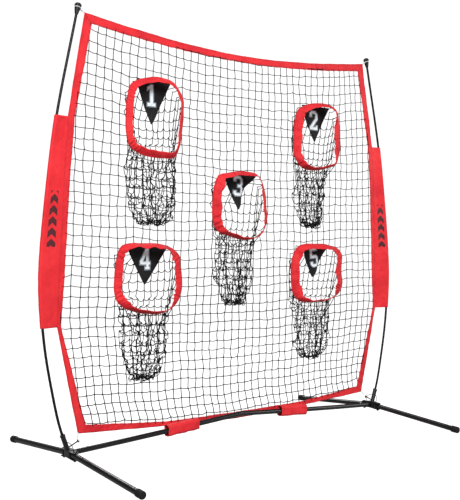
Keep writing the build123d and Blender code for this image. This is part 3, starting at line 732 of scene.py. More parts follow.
# ---------------------------------------------------------------- pole sleeves
def sleeve(side, name):
    names = ["pole_%s_%s" % (p, "left" if side < 0 else "right") for p in ("lower", "middle", "upper")]
    n = 170
    z0, z1 = SLEEVE_Z
    zs = np.linspace(z0, z1, n)
    xp = np.abs(crossing_mid(names, zs))
    xe = edge_x(EDGE_OUT, zs) - .002
    yb = net_y(zs)
    nf, na = 20, 14
    secs = []
    for inner in (0.0, .0009):
        r = .0100 - inner
        # the ferrules are covered with a little ease
        t = np.linspace(0, 1, nf)[None, :]
        fx = xe[:, None] + (xp[:, None] - .0015 - xe[:, None]) * t
        fy = yb[:, None] * (1 - t) - (.0013 - inner * .8) - (r - .0013 + inner * .8) * t ** 1.7
        by = yb[:, None] * (1 - t) + (.0013 - inner * .8) + (r - .0013 + inner * .8) * t ** 1.7
        a = np.linspace(-math.pi / 2, math.pi / 2, na + 2)[1:-1][None, :]
        ax = xp[:, None] + r * np.cos(a)
        ay = r * np.sin(a) + 0 * xp[:, None]
        x = np.concatenate([fx, ax, fx[:, ::-1]], axis=1)
        y = np.concatenate([fy, ay, by[:, ::-1]], axis=1)
        secs.append(np.stack([x, y, np.repeat(zs[:, None], x.shape[1], 1)], axis=2))
    out, inn = secs
    m = out.shape[1]
    # distance round the cloth from the front face above the pole, for the print and weave
    d = np.linalg.norm(np.diff(out[n // 2], axis=0), axis=1)
    V = np.concatenate([[0], np.cumsum(d)])
    # soft pulls and creases; the layer over the pole only moves outwards
    tt = np.concatenate([np.linspace(0, 1, nf), np.ones(na), np.linspace(1, 0, nf)])
    sgn = np.concatenate([-np.ones(nf), np.zeros(na), np.ones(nf)])
    zz, vv = zs[:, None], V[None, :]
    crease = .0019 * wob(51 + side, zz / .19 + vv / .35, vv / .12) + \
        .0011 * wob(55 + side, zz / .060 + vv / .09, vv / .06) + .0005 * wob(57 + side, zz / .021, vv / .03)
    amp = np.sin(np.clip(tt, 0, 1) * math.pi) ** .8
    dy = crease * amp[None, :] * np.where(sgn == 0, 0, 1)[None, :]
    out[..., 1] += dy
    inn[..., 1] += dy
    swell = .0007 + .0006 * wob(59 + side, zz / .07, vv / .04)
    over = (tt > .93)
    out[:, over, 0] += np.clip(swell, 0, None)[:, over] * .6
    hem = np.exp(-((zs - z0) / .016) ** 4) + np.exp(-((z1 - zs) / .016) ** 4)
    nrm_y = np.where(sgn == 0, np.sin(np.linspace(-math.pi / 2, math.pi / 2, m)), sgn)
    out[..., 1] += hem[:, None] * .0007 * nrm_y[None, :]
    out[..., 0] += hem[:, None] * .0007 * (sgn == 0)[None, :]
    # open ends: the cloth turns in and runs back up inside
    lead = [inn[3], inn[1], inn[0]]
    lead[2] = inn[0].copy()
    tail = [inn[-1].copy(), inn[-2], inn[-4]]
    ring = np.concatenate([np.stack(lead), out, np.stack(tail)], axis=0)
    nn = ring.shape[0]
    U = np.concatenate([zs[[3, 1, 0]], zs, zs[[-1, -2, -4]]])
    f, ci, cj = grid_faces(nn, m, False, True)
    front0 = V[nf - 1] - .040                       # print sits on the flat, beside the pole
    if side > 0:
        pass
    Vl = np.append(V - front0, V[-1] - front0 + .003)
    uv = np.stack([U[ci], Vl[cj]], axis=2)
    verts = ring.reshape(-1, 3).copy()
    verts[:, 0] *= side
    caps = [[k for k in range(m)][::-1], [(nn - 1) * m + k for k in range(m)]]
    return make(name, verts, f, M["sleeve"], slot="sleeve_fabric", uv=uv, caps=caps,
                repl=("sleeve_left" if side < 0 else "sleeve_right",))


sleeve(-1, "pole_sleeve_left")
sleeve(1, "pole_sleeve_right")


# ---------------------------------------------------------------- loops on the crossbar
def bar_loop(side, name):
    xm = (LOOP_X[0] + LOOP_X[1]) / 2
    z_in, z_out = bar_z(LOOP_X[0]), bar_z(LOOP_X[1])
    nu, nv = 72, 60
    w, h, r = .0212, .0280, .0135
    outline = []
    for cxn, czn, a0 in ((w - r, h - r, 0), (-(w - r), h - r, 90), (-(w - r), -(h - r), 180), (w - r, -(h - r), 270)):
        for a in np.linspace(a0, a0 + 90, 10):
            outline.append((cxn + r * math.cos(math.radians(a)), czn + r * math.sin(math.radians(a))))
    o = np.array(outline + outline[:1])
    o, _ = resample(o, n=nu + 1)
    o = o[:-1]
    v = np.linspace(LOOP_X[0], LOOP_X[1], nv)
    P = np.zeros((nu, nv, 3))
    for j, x in enumerate(v):
        zc = np.interp(x, LOOP_X, (z_in, z_out)) + .001
        ends = min(x - LOOP_X[0], LOOP_X[1] - x)
        pinch = 1 - .03 * math.exp(-ends / .03)
        k = 1 + .05 * wob(61 + side, x / .10, o[:, 1] / .05) + .03 * wob(63 + side, x / .03, o[:, 0] / .03)
        P[:, j, 0] = side * (x + .0015 * wob(65 + side, o[:, 1] / .04) * (1 if j in (0, nv - 1) else .5))
        P[:, j, 1] = .0052 + o[:, 0] * pinch * np.minimum(k, 1.03)
        P[:, j, 2] = zc + o[:, 1] * pinch * k
    half = np.full((nu, nv), .0008)
    half[:, :4] = half[:, -4:] = .0012
    V = (v - LOOP_X[0])
    m, f, uv, caps = ribbon_mesh(P, half, closed_u=True, V=V)
    return make(name, m, f, M["loop"], slot="border_webbing", uv=uv, caps=caps,
                repl=("bar_loop_left" if side < 0 else "bar_loop_right",))


bar_loop(-1, "bar_wrap_left")
bar_loop(1, "bar_wrap_right")


# ---------------------------------------------------------------- pocket rims
def tape_shape(k, th):
    """Inward width and forward reach of a rim tape at an angle."""
    (ws, fs), (wt, ft), (wb, fb) = RIM_TAPE[k]
    s = np.sin(th)
    up = smooth((s - .52) / .40)
    dn = smooth((-s - .45) / .45)
    side = 1 - up - dn
    return ws * side + wt * up + wb * dn, fs * side + ft * up + fb * dn


def corner_weight(radii, th):
    """Near 1 at the four rounded corners of a mouth, where the tape puckers."""
    r = np.array(radii, float)
    w = np.zeros_like(np.asarray(th, float))
    for q in range(4):
        lo = q * 6
        best = lo + 1 + int(np.argmax(r[lo + 1:lo + 6]))
        c = best * math.pi / 12
        d = np.abs((np.asarray(th) - c + math.pi) % (2 * math.pi) - math.pi)
        w = np.maximum(w, np.exp(-(d / .22) ** 2))
    return w


SPIKES = {1: [(-.95, .10, .004, .004)], 2: [(.72, .08, .008, .006)],
          3: [(-.17, .06, .020, .012), (2.5, .10, .006, .004)],
          4: [(.62, .07, .014, .008), (3.9, .1, .006, .004)],
          5: [(.60, .07, .014, .010), (-.75, .09, .006, .003)]}


def rim_surface(k, th, v):
    (cx, cz), radii = MOUTHS[k]
    R = polar(radii, th)
    w, f = tape_shape(k, th)
    for a, wd, dw, df in SPIKES[k]:
        d = (th - a + math.pi) % (2 * math.pi) - math.pi
        g = np.exp(-(d / wd) ** 2)
        w = w + dw * g
        f = f + df * g
    arc = th * .19
    cw = corner_weight(radii, th)
    w = w + .0032 * wob(200 + k, arc / .075) + (.0010 + .0036 * cw) * wob(210 + k, arc / .022)
    f = f + .0032 * wob(220 + k, arc / .090) + (.0012 + .0038 * cw) * wob(230 + k, arc / .020)
    f = np.maximum(f, .003)
    # flat sewn margin, then a soft roll to the inner edge
    lie = smooth((v - .10) / .90) * .55 + .45 * np.clip((v - .08) / .92, 0, 1)
    bulge = np.sin(v * math.pi) * (.0024 + .0026 * wob(240 + k, arc / .06) + (.0010 + .0036 * cw) * wob(250 + k, arc / .017))
    wn, fn = f / np.hypot(w, f), w / np.hypot(w, f)
    rho = R - w * v ** 1.05 + bulge * wn * .8
    y = -f * lie - bulge * fn + .0010 * wob(260 + k, arc / .030, v * 1.0) * v
    x = cx + rho * np.cos(th)
    z = cz + rho * np.sin(th)
    return np.stack([x, net_y(z) - .0015 + y, z], axis=-1)


def rim(k):
    nu, nv = 420, 17
    th = np.linspace(0, 2 * math.pi, nu, endpoint=False)
    v = np.linspace(0, 1, nv)
    P = np.stack([rim_surface(k, th, np.full(nu, t)) for t in v], axis=1)
    half = np.full((nu, nv), .0012)
    half[:, 0] = .0008
    half[:, -1], half[:, -2], half[:, -3] = .0013, .0019, .0017
    m, f, uv, caps = ribbon_mesh(P, half, closed_u=True, V=v * .045)
    make("rim_tape_%d" % k, m, f, M["rim"], slot="rim_fabric", uv=uv, caps=caps,
         repl=("pocket_rim_%d" % k,))


for k in MOUTHS:
    rim(k)


# ---------------------------------------------------------------- the net
def mouth_gap(x, z):
    """Distance outside the nearest pocket mouth, negative inside it."""
    best = np.full(np.shape(x), 9.0)
    for k, ((cx, cz), radii) in MOUTHS.items():
        dx, dz = x - cx, z - cz
        rho = np.hypot(dx, dz)
        th = np.arctan2(dz, dx)
        best = np.minimum(best, rho - polar(radii, th))
    return best


def on_net(x, z):
    """Positive where the twine shows or is tucked a little way under a tape."""
    inner = edge_x(EDGE_IN, z) - np.abs(x) + .009
    top = top_in_z(x) - z + .009
    bot = z - bot_in_z(x) + .009
    return np.minimum(np.minimum(np.minimum(inner, top), bot), mouth_gap(x, z) + .006)


def warp(x0, z0):
    """Where the sewn-in, hanging net carries a point of an even grid."""
    d = 1.034 - edge_x(EDGE_IN, z0)
    x = x0 - .50 * d * np.sign(x0) * (np.abs(x0) / 1.034) ** 2
    lift = .012 + .074 * np.clip(z0 / 2.0, 0, 1.1) ** 3 + .022 * np.exp(-np.abs(z0 - .13) / .25)
    z = z0 + lift * (np.abs(x0) / .922) ** 1.75
    x = x + .026 * np.clip((.262 - z0) / .125, 0, 1) ** 1.2
    x = x + .0035 * wob(71, x0 / .55, z0 / .7)
    z = z + .0040 * wob(72, x0 / .60, z0 / .8)
    for k, ((cx, cz), radii) in MOUTHS.items():
        dx, dz = x - cx, z - cz
        rho = np.maximum(np.hypot(dx, dz), 1e-6)
        th = np.arctan2(dz, dx)
        g = np.exp(-(np.maximum(rho - polar(radii, th), 0) / .075) ** 2)
        cw = corner_weight(radii, th)
        pull = .006 * g * (.4 + cw) * np.where(dz > 0, 1.0, .6)
        x = x - pull * dx / rho
        z = z - pull * dz / rho
        z = z - .007 * g * smooth((dz + .05) / .1) * .4
    return x, z


def net():
    ni, nj = 24, 45
    rng = np.random.default_rng(7)
    I = np.arange(-ni, ni + 1)
    J = np.arange(nj)
    x0, z0 = np.meshgrid(I * CELL + .004, .100 + J * CELL, indexing="ij")
    X, Z = warp(x0, z0)
    X = X + rng.normal(0, .0023, X.shape)
    Z = Z + rng.normal(0, .0023, Z.shape)
    Y = net_y(Z) + .0035 * wob(73, X / .5, Z / .6) * smooth((1.02 - np.abs(X)) / .1) + rng.normal(0, .0006, X.shape)
    fr = [0, .10, .5, .90]
    lines, radii = [], []

    def add(nx, ny, nz, is_row):
        pts, rad = [], []
        n = len(nx)
        bow = rng.normal(0, .0017, n)
        sag = .0027 + rng.normal(0, .0011, n)
        for i in range(n):
            steps = fr if i < n - 1 else [0]
            for f in steps:
                j = min(i + 1, n - 1)
                q = 4 * f * (1 - f)
                px = nx[i] + (nx[j] - nx[i]) * f
                py = ny[i] + (ny[j] - ny[i]) * f + (.0007 if is_row else -.0007) * q
                pz = nz[i] + (nz[j] - nz[i]) * f
                if is_row:
                    pz -= sag[i] * q
                else:
                    px += bow[i] * q
                pts.append((px, py, pz))
                rad.append(STRAND_R * (1.38 if f == 0 else 1.0))
        pts, rad = np.array(pts), np.array(rad)
        rad = rad * (1 + .22 * smooth((1.05 - pts[:, 2]) / .8))
        g = on_net(pts[:, 0], pts[:, 2])
        run, rr = [], []
        for i in range(len(pts)):
            if g[i] > 0:
                if not run and i > 0 and g[i - 1] <= 0:
                    t = g[i] / (g[i] - g[i - 1])
                    run.append(pts[i] + (pts[i - 1] - pts[i]) * t)
                    rr.append(STRAND_R)
                run.append(pts[i])
                rr.append(rad[i])
            elif run:
                t = g[i - 1] / (g[i - 1] - g[i])
                run.append(pts[i - 1] + (pts[i] - pts[i - 1]) * t)
                rr.append(STRAND_R)
                if len(run) > 2:
                    lines.append(np.array(run))
                    radii.append(np.array(rr))
                run, rr = [], []
        if len(run) > 2:
            lines.append(np.array(run))
            radii.append(np.array(rr))

    for i in range(X.shape[0]):
        add(X[i], Y[i], Z[i], False)
    for j in range(X.shape[1]):
        add(X[:, j], Y[:, j], Z[:, j], True)
    tubes("net_mesh", lines, radii, M["net"], sides=6, slot="knotless_net", repl=("net_panel",))


net()


# ---------------------------------------------------------------- catch bags
# per bag: right and left half width, depth centre and half depth below the rim,
# and how much the foot narrows
BAG_FORM = {1: (.150, .122, .050, .045, 1.00), 2: (.108, .099, .056, .051, .84),
            3: (.114, .096, .072, .067, .96), 4: (.131, .115, .059, .054, .95),
            5: (.130, .104, .067, .062, .95)}


# the slack strings let each foot settle this far below where it is aimed
SETTLE = {1: .016, 2: .016, 3: .014, 4: .006, 5: .010}


def bag_section(k, z):
    """Right and left half width, depth centre, half depth and squareness of a bag at a height."""
    (cx, cz), radii = MOUTHS[k]
    r90, low = radii[6] / 1000.0, BAG_LOW[k] + SETTLE[k]
    r0, l0, yc, b0, nar = BAG_FORM[k]
    wr = radii[0] / 1000.0 - .014            # behind the mouth the right wall hangs off the rim
    wl = radii[12] / 1000.0 - .066           # and the left wall leans in behind it
    zt = [r90 + .004, r90 - .016, r90 - .038, .090, 0, -.120, -.210, low + .19, low + .12, low + .060,
          low + .030, low + .012, low]
    foot = np.array([1.0, (.9 + .1 * nar) * nar ** .5, .94 * nar, .82 * nar, .66 * nar, .50 * nar, .34 * nar])
    mid = (r0 - l0) / 2 * (1 - foot)          # both sides close in towards the middle
    rt = [wr * .66, wr * .80, wr * .90, wr, wr, (wr + r0) / 2] + list(r0 * foot + mid)
    lt = [wl * .80, wl * .95, wl, wl, wl, (wl + l0) / 2] + list(l0 * foot - mid)
    ct = [.018, .036, .046, .062, .071, .5 * yc + .036, yc, yc, yc, yc, yc, yc, yc]
    bt = [.014, .031, .041, .057, .066, .5 * b0 + .033, b0, b0, b0 * .95, b0 * .85, b0 * .68, b0 * .52, b0 * .40]
    zt, rt, lt, ct, bt = (np.array(q)[::-1] for q in (zt, rt, lt, ct, bt))
    square = 1 - .42 * float(smooth((z + .17) / .12))
    return np.interp(z, zt, rt), np.interp(z, zt, lt), np.interp(z, zt, ct), np.interp(z, zt, bt), square


def bag_point(k, z, phi):
    (cx, cz), radii = MOUTHS[k]
    ar, al, c, b, p = bag_section(k, z)
    deep = float(smooth((-.02 - z) / .20))
    fold = (.0026 + .0085 * deep) * math.sin(5 * phi + 1.7 * k + 2.2 * math.sin(z / .11 + k)) \
        + (.0015 + .0065 * deep) * math.sin(9 * phi + 2.9 * k + 2.5 * math.sin(z / .07 + 2 * k))
    cs, sn = math.cos(phi), math.sin(phi)
    px = ((ar if cs > 0 else al) + fold) * math.copysign(abs(cs) ** p, cs)
    py = c + (b + fold * .7) * math.copysign(abs(sn) ** p, sn)
    shift = .0035 * math.sin(z / .09 + k)
    return cx + px + shift, py + float(net_y(cz + z)) + .001, cz + z


SWING = math.radians(26)
BEHIND = {1: (.013, 0), 2: (.016, .006), 3: (.020, .046), 4: (.012, 0), 5: (.014, .008)}    # at the middle, more at the sides
# how far the top corners of each flag lie outside an even triangle: right, left
CORNERS = {1: (.016, .014), 2: (.028, .014), 3: (.032, .012), 4: (.026, .006), 5: (.021, .008)}
APEX = {1: .0, 2: .0, 3: .0, 4: .0, 5: -.012}


def flag_span(k, q):
    """Half width of a flag and the shift of its middle, a share q of the way down."""
    L, H = FLAG_LEN[k], FLAG_HALF[k]
    dr, dl = CORNERS[k][0] * (1 - q) ** .8, CORNERS[k][1] * (1 - q) ** 4
    return (H - .004) * (1 - q) + .004 + (dr - dl) / 2, (dr + dl) / 2 + APEX[k] * q


def rim_at_height(radii, z, right=True):
    """Angle on a rim at a height from its centre, on one side."""
    ths = np.linspace(-1.45, 1.45, 300)
    if not right:
        ths = math.pi - ths
    hz = polar(radii, ths) * np.sin(ths)
    return float(ths[int(np.argmin(np.abs(hz - z)))])


def bag(k):
    """Strings of one catch bag, let down under their own weight from the rim."""
    (cx, cz), radii = MOUTHS[k]
    y0 = float(net_y(cz))
    r90, low = radii[6] / 1000.0, BAG_LOW[k] + SETTLE[k]
    rng = np.random.default_rng(300 + k)
    NC = 22
    # columns spread evenly round the bag, number 0 starting behind the right-hand side
    phis = np.linspace(0, 2 * math.pi, 721)
    ring = np.array([bag_point(k, -.05, p)[:2] for p in phis])
    arc = np.concatenate([[0], np.cumsum(np.linalg.norm(np.diff(ring, axis=0), axis=1))])
    start = np.interp(math.radians(-52), phis - 2 * math.pi, arc)
    start = np.interp(2 * math.pi - math.radians(52), phis, arc)
    u = (np.arange(NC) + .5) / NC
    at = (start + arc[-1] * (u - .042 * np.sin(2 * math.pi * u))) % arc[-1]
    phi = np.interp(at, arc, phis)
    ph = np.degrees(phi)
    ph = np.where(ph > 300, ph - 360, ph)                 # -60 .. 300
    front = (ph > 228) | (ph < -48)
    # where each column is sewn to the rim
    th = np.interp(ph, [-60, -45, 0, 45, 90, 135, 180, 225, 228, 270, 300],
                   [-42, 16, 38, 60, 90, 120, 146, 172, 222, 270, 312])
    th = np.radians(np.where(ph < -48, 318, th))
    Rm = polar(radii, th) - .004
    att = np.stack([cx + Rm * np.cos(th), 0 * th, cz + Rm * np.sin(th)], axis=1)
    att[:, 1] = net_y(att[:, 2]) + .002
    rows = [low + .006, low + .024, low + .058]
    while rows[-1] + .0450 < r90 - .03:
        rows.append(rows[-1] + .0450)
    closed_below = -float(polar(radii, np.array([1.5 * math.pi]))[0]) - .006
    pos, fixed, target, stiff = [], [], [], []

    def particle(p, fix=False, tgt=None, st=0.0):
        pos.append(list(map(float, p)))
        fixed.append(fix)
        target.append(list(map(float, tgt if tgt is not None else p)))
        stiff.append(st)
        return len(pos) - 1

    cons = []          # a, b, rest, keep-open share
    strings = []       # lists of particle numbers
    knots = set()

    def string(a, b, rest, subs=2, rough=.0035, keep=.25):
        pa, pb = np.array(pos[a]), np.array(pos[b])
        ids = [a]
        slack = max(0.0, rest - np.linalg.norm(pb - pa))
        for s in range(1, subs + 1):
            f = s / (subs + 1)
            off = rng.normal(0, 1, 3) * np.array([1, 1.2, .6]) * (rough + .28 * slack)
            ids.append(particle(pa + (pb - pa) * f + off))
        ids.append(b)
        for p, q in zip(ids, ids[1:]):
            cons.append((p, q, rest / (subs + 1), keep))
        return ids

    node = {}
    tops = {}
    for i in range(NC):
        pin = particle(att[i], True)
        knots.add(pin)
        z_top = att[i, 2] - cz
        x_t, y_t, z_t = att[i]
        chain = [pin]
        if not front[i]:
            up = smooth((math.degrees(th[i]) % 360 - 20) / 35) * smooth((160 - math.degrees(th[i]) % 360) / 35) \
                if 0 <= math.degrees(th[i]) % 360 <= 180 else 0.0
            reach = .020 + .028 * float(up)
            tp = np.array([x_t, y0 + .003 + reach, z_t - .004 - .012 * (1 - float(up))])
            tnode = particle(tp, True)
            knots.add(tnode)
            chain.append(tnode)
            x_t, y_t, z_t = tp
        tops[i] = chain
        for j in range(len(rows) - 1, -1, -1):
            zj = rows[j]
            if front[i]:
                if zj > min(closed_below, z_top - .012):
                    continue
            elif zj > (z_t - cz) - .022:
                continue
            sx, sy, sz = bag_point(k, zj, phi[i])
            w = float(smooth(((z_t - cz) - zj) / (.10 if front[i] else .085)))
            jit = .0034 + .0058 * float(smooth((-.08 - zj) / .22))
            tx = x_t + (sx - x_t) * w + rng.normal(0, jit)
            ty = y_t + (sy - y_t) * w + rng.normal(0, jit)
            tz = sz + rng.normal(0, .0030 + .0050 * float(smooth((-.10 - zj) / .25))) + (
                abs(rng.normal(0, .010)) if j == 0 else 0.0)
            ty = max(ty, float(net_y(tz)) + .006)
            node[i, j] = particle((tx, ty, tz), False, (tx, ty, tz),
                                  .085 + .25 * float(smooth((-.04 - zj) / .22)))
            knots.add(node[i, j])

    def dist(a, b):
        return float(np.linalg.norm(np.array(pos[a]) - np.array(pos[b])))

    for i in range(NC):
        chain = tops[i] + [node[i, j] for j in range(len(rows) - 1, -1, -1) if (i, j) in node]
        whole = [chain[0]]
        for a, b in zip(chain, chain[1:]):
            d = dist(a, b)
            if a in tops[i] and b in tops[i]:
                rest = d * 1.03
            else:
                deep = float(smooth((-.06 - (pos[b][2] - cz)) / .25))
                rest = max(d * 1.015, (.0462 if d > .030 else .040) + deep * abs(rng.normal(0, .0030)))
            whole += string(a, b, rest, rough=.0014 if d > .03 else .004)[1:]
        strings.append(whole)
    order = list(np.argsort(ph))
    for j, zj in enumerate(rows):
        cols = [i for i in order if (i, j) in node]
        if not cols:
            continue
        closed = any(front[i] for i in cols)
        chain = [node[i, j] for i in cols]
        if closed:
            chain = chain + chain[:1]
        else:
            for right in (True, False):
                a = rim_at_height(radii, zj, right)
                R = float(polar(radii, np.array([a]))[0]) - .004
                p = (cx + R * math.cos(a), 0, cz + R * math.sin(a))
                pin = particle((p[0], float(net_y(p[2])) + .002, p[2]), True)
                knots.add(pin)
                chain = [pin] + chain if right else chain + [pin]
        whole = [chain[0]]
        for a, b in zip(chain, chain[1:]):
            d = dist(a, b)
            low_part = float(smooth((-.12 - zj) / .25))
            rest = max(d * 1.03, .0385 + .0030 * rng.normal() + .0040 * low_part)
            if zj < low + .075:
                rest = max(d * 1.10, .55 * rest)
            if fixed[a] or fixed[b]:
                rest = d * 1.06 + .002
            whole += string(a, b, rest, keep=.22)[1:]
        strings.append(whole)
    # the closed foot: front and back tied across
    fr = sorted([i for i in range(NC) if (i, 0) in node and front[i]], key=lambda i: pos[node[i, 0]][0])
    rr = sorted([i for i in range(NC) if (i, 0) in node and not front[i]], key=lambda i: pos[node[i, 0]][0])
    for q, i in enumerate(rr[::3]):
        q = 3 * q
        b = node[fr[min(len(fr) - 1, int(q * len(fr) / len(rr)))], 0]
        strings.append(string(node[i, 0], b, max(.034, dist(node[i, 0], b) * 1.02)))
    X = np.array(pos)
    T = np.array(target)
    F = np.array(fixed)
    S = np.array(stiff)[:, None]
    mob = np.where(F, 0.0, 1.0)
    # constraints in groups that share no particle
    groups, used = [], []
    for a, b, r, kp in cons:
        for g, u in zip(groups, used):
            if a not in u and b not in u:
                g.append((a, b, r, kp))
                u.update((a, b))
                break
        else:
            groups.append([(a, b, r, kp)])
            used.append({a, b})
    packed = []
    for g in groups:
        q = np.array(g)
        a, b = q[:, 0].astype(int), q[:, 1].astype(int)
        wa, wb = mob[a], mob[b]
        s = wa + wb
        ok = s > 0
        a, b, wa, wb, s = a[ok], b[ok], wa[ok], wb[ok], s[ok]
        packed.append((a, b, q[ok, 2], q[ok, 3], (wa / s)[:, None], (wb / s)[:, None]))
    V = np.zeros_like(X)
    steps = 260
    gravity = np.array([0, 0, -.00050])
    hem = (np.abs(X[:, 0] - cx) < .116)
    hinge_y, hinge_z = y0 + HINGE_BACK, cz + r90 - HINGE_DROP
    room = BEHIND[k]
    for it in range(steps):
        V = V * .93 + gravity * mob[:, None]
        new = X + V * mob[:, None]
        new += S * (T - new) * mob[:, None]
        for sweep_no in range(7):
            for a, b, r, kp, wa, wb in packed:
                d = new[b] - new[a]
                ln = np.sqrt(np.einsum("ij,ij->i", d, d)) + 1e-12
                e = (ln - r) / ln
                e = np.where(e > 0, e, e * kp)[:, None]
                new[a] += d * e * wa
                new[b] -= d * e * wb
        lim = net_y(new[:, 2]) + .0035
        new[:, 1] = np.where(F, new[:, 1], np.maximum(new[:, 1], lim))
        high = hem & (new[:, 2] > cz + r90 - .060) & ~F & (new[:, 1] > y0 + .018)
        new[:, 1] = np.where(high, np.maximum(new[:, 1], y0 + .043), new[:, 1])
        # the flag swings back this far, so the strings behind it stay clear of its sweep
        down = hinge_z - new[:, 2]
        q = np.clip(down / (math.cos(SWING) * FLAG_LEN[k]), 0, 1)
        hw, hm = flag_span(k, q)
        aside = np.clip(np.abs(new[:, 0] - cx - hm) / (hw + .008), 0, 1) ** 2
        swept = (np.abs(new[:, 0] - cx - hm) < hw + .018) & (down > 0) & (down < math.cos(SWING) * FLAG_LEN[k] + .010) \
            & (new[:, 1] > y0 + .018) & ~F
        new[:, 1] = np.where(swept, np.maximum(new[:, 1], hinge_y + down * math.tan(SWING) + room[0] + room[1] * aside), new[:, 1])
        ry, rz = new[:, 1] - hinge_y, new[:, 2] - hinge_z
        rr_ = np.hypot(ry, rz) + 1e-9
        near = (rr_ < .0115) & hem & ~F
        new[:, 1] = np.where(near, hinge_y + ry / rr_ * .0115, new[:, 1])
        new[:, 2] = np.where(near, hinge_z + rz / rr_ * .0115, new[:, 2])
        V = np.clip(new - X, -.01, .01)
        X = new
    lines, radii_out = [], []
    for ids in strings:
        p = X[ids]
        rad = np.array([BAG_R * (1.35 if q in knots else 1.0) for q in ids])
        n = (len(ids) - 1) * 2 + 1
        fine = spline(p, n)
        rf = np.interp(np.linspace(0, len(ids) - 1, n), np.arange(len(ids)), rad)
        mid = np.arange(n) % 2 == 1
        rf[mid] = BAG_R
        fine[:, 1] = np.maximum(fine[:, 1], net_y(fine[:, 2]) + .0015)
        lines.append(fine)
        radii_out.append(rf)
    tubes("catch_bag_%d" % k, lines, radii_out, M["net"], sides=5, slot="knotless_net",
          repl=("pocket_bag_%d" % k,))


for k in MOUTHS:
    bag(k)


# ---------------------------------------------------------------- number flags
# per flag: ripple, tip reach back, sideways lean, and how tightly the cloth curls
# round a vertical line by the time it reaches the point
CURL = {1: (.0025, .000, .0, 4.0), 2: (.0035, -.004, .012, 5.0), 3: (.003, -.014, -.010, 27.0),
        4: (.0025, .002, .0, 3.0), 5: (.004, -.008, .0, 14.0)}


def flag_point(k, s, t, lift=0.0):
    """A point of a flag: s from -1 to 1 across, t metres down from the hem, lift forwards."""
    (cx, cz), radii = MOUTHS[k]
    y0 = float(net_y(cz)) + HINGE_BACK
    hz = cz + radii[6] / 1000.0 - HINGE_DROP
    L, H = FLAG_LEN[k], FLAG_HALF[k]
    amp, tip, lean, kap = CURL[k]
    q = np.clip(t / L, 0, 1)
    half, mid = flag_span(k, q)
    kk = kap * smooth(q / .75) + 1e-3
    ang = (s * half + mid) * kk
    across = np.sin(ang) / kk
    back = (1 - np.cos(ang)) / kk
    x = cx + across + lean * q * .5
    wave = amp * (wob(400 + k, s * .45, t / .16) * q + .6 * wob(405 + k, s * .9, t / .07) * q)
    y = y0 - wave + tip * q ** 3 + back - .4 * (1 - np.cos(half * kk)) / kk
    nx, ny_ = np.sin(ang), np.cos(ang)
    flat = .00075 + lift
    hem = np.sqrt(np.maximum((.0043 + lift) ** 2 - np.minimum(np.abs(t), .0043) ** 2, 0))
    off = np.where(t < .0043, np.maximum(hem, flat), flat) if lift > 0 else 0.0
    return np.stack(np.broadcast_arrays(x + off * nx, y - off * ny_, hz - t), axis=-1)


DIGITS = {
    1: ([[(6, 0), (54, 0), (54, 18), (40, 18), (40, 108), (26, 108), (6, 94), (6, 78), (20, 84), (20, 18), (6, 18)]], []),
    2: ([[(0, 0), (60, 0), (60, 26), (46, 26), (46, 17), (24, 17), (60, 60), (60, 92), (46, 108), (14, 108), (0, 94),
          (0, 74), (17, 74), (17, 88), (21, 92), (39, 92), (43, 88), (43, 66), (0, 18)]], []),
    3: ([[(0, 28), (0, 14), (14, 0), (46, 0), (60, 14), (60, 44), (52, 54), (60, 64), (60, 94), (46, 108), (14, 108),
          (0, 94), (0, 78), (17, 78), (17, 88), (21, 92), (39, 92), (43, 88), (43, 66), (38, 61), (22, 61), (22, 46),
          (38, 46), (43, 41), (43, 20), (39, 16), (21, 16), (17, 20), (17, 28)]], []),
    4: ([[(28, 0), (58, 0), (58, 14), (52, 14), (52, 24), (60, 24), (60, 40), (52, 40), (52, 108), (36, 108), (0, 42),
          (0, 24), (35, 24), (35, 14), (28, 14)]], [[(18, 40), (35, 40), (35, 72)]]),
    5: ([[(0, 30), (0, 14), (14, 0), (46, 0), (60, 14), (60, 52), (46, 67), (17, 67), (17, 91), (56, 91), (56, 108),
          (0, 108), (0, 50), (39, 50), (43, 46), (43, 20), (39, 16), (21, 16), (17, 20), (17, 30)]], []),
}
DIGIT_TOP = {1: .018, 2: .024, 3: .0065, 4: .007, 5: .008}    # below the hem
DIGIT_TILT = {1: 0, 2: 0, 3: -3, 4: 0, 5: 6}


def grow(poly, d):
    """Polygon with every edge moved outwards by d."""
    p = np.array(poly, float)
    area = .5 * np.sum(p[:, 0] * np.roll(p[:, 1], -1) - np.roll(p[:, 0], -1) * p[:, 1])
    if area < 0:
        p = p[::-1]
    out = []
    n = len(p)
    for i in range(n):
        a, b, c = p[i - 1], p[i], p[(i + 1) % n]
        e1, e2 = (b - a) / np.linalg.norm(b - a), (c - b) / np.linalg.norm(c - b)
        n1, n2 = np.array([e1[1], -e1[0]]), np.array([e2[1], -e2[0]])
        m = n1 + n2
        m = m / max(.35, float(m @ n1)) if np.linalg.norm(m) > 1e-9 else n1
        out.append(b + m * d)
    return np.array(out)


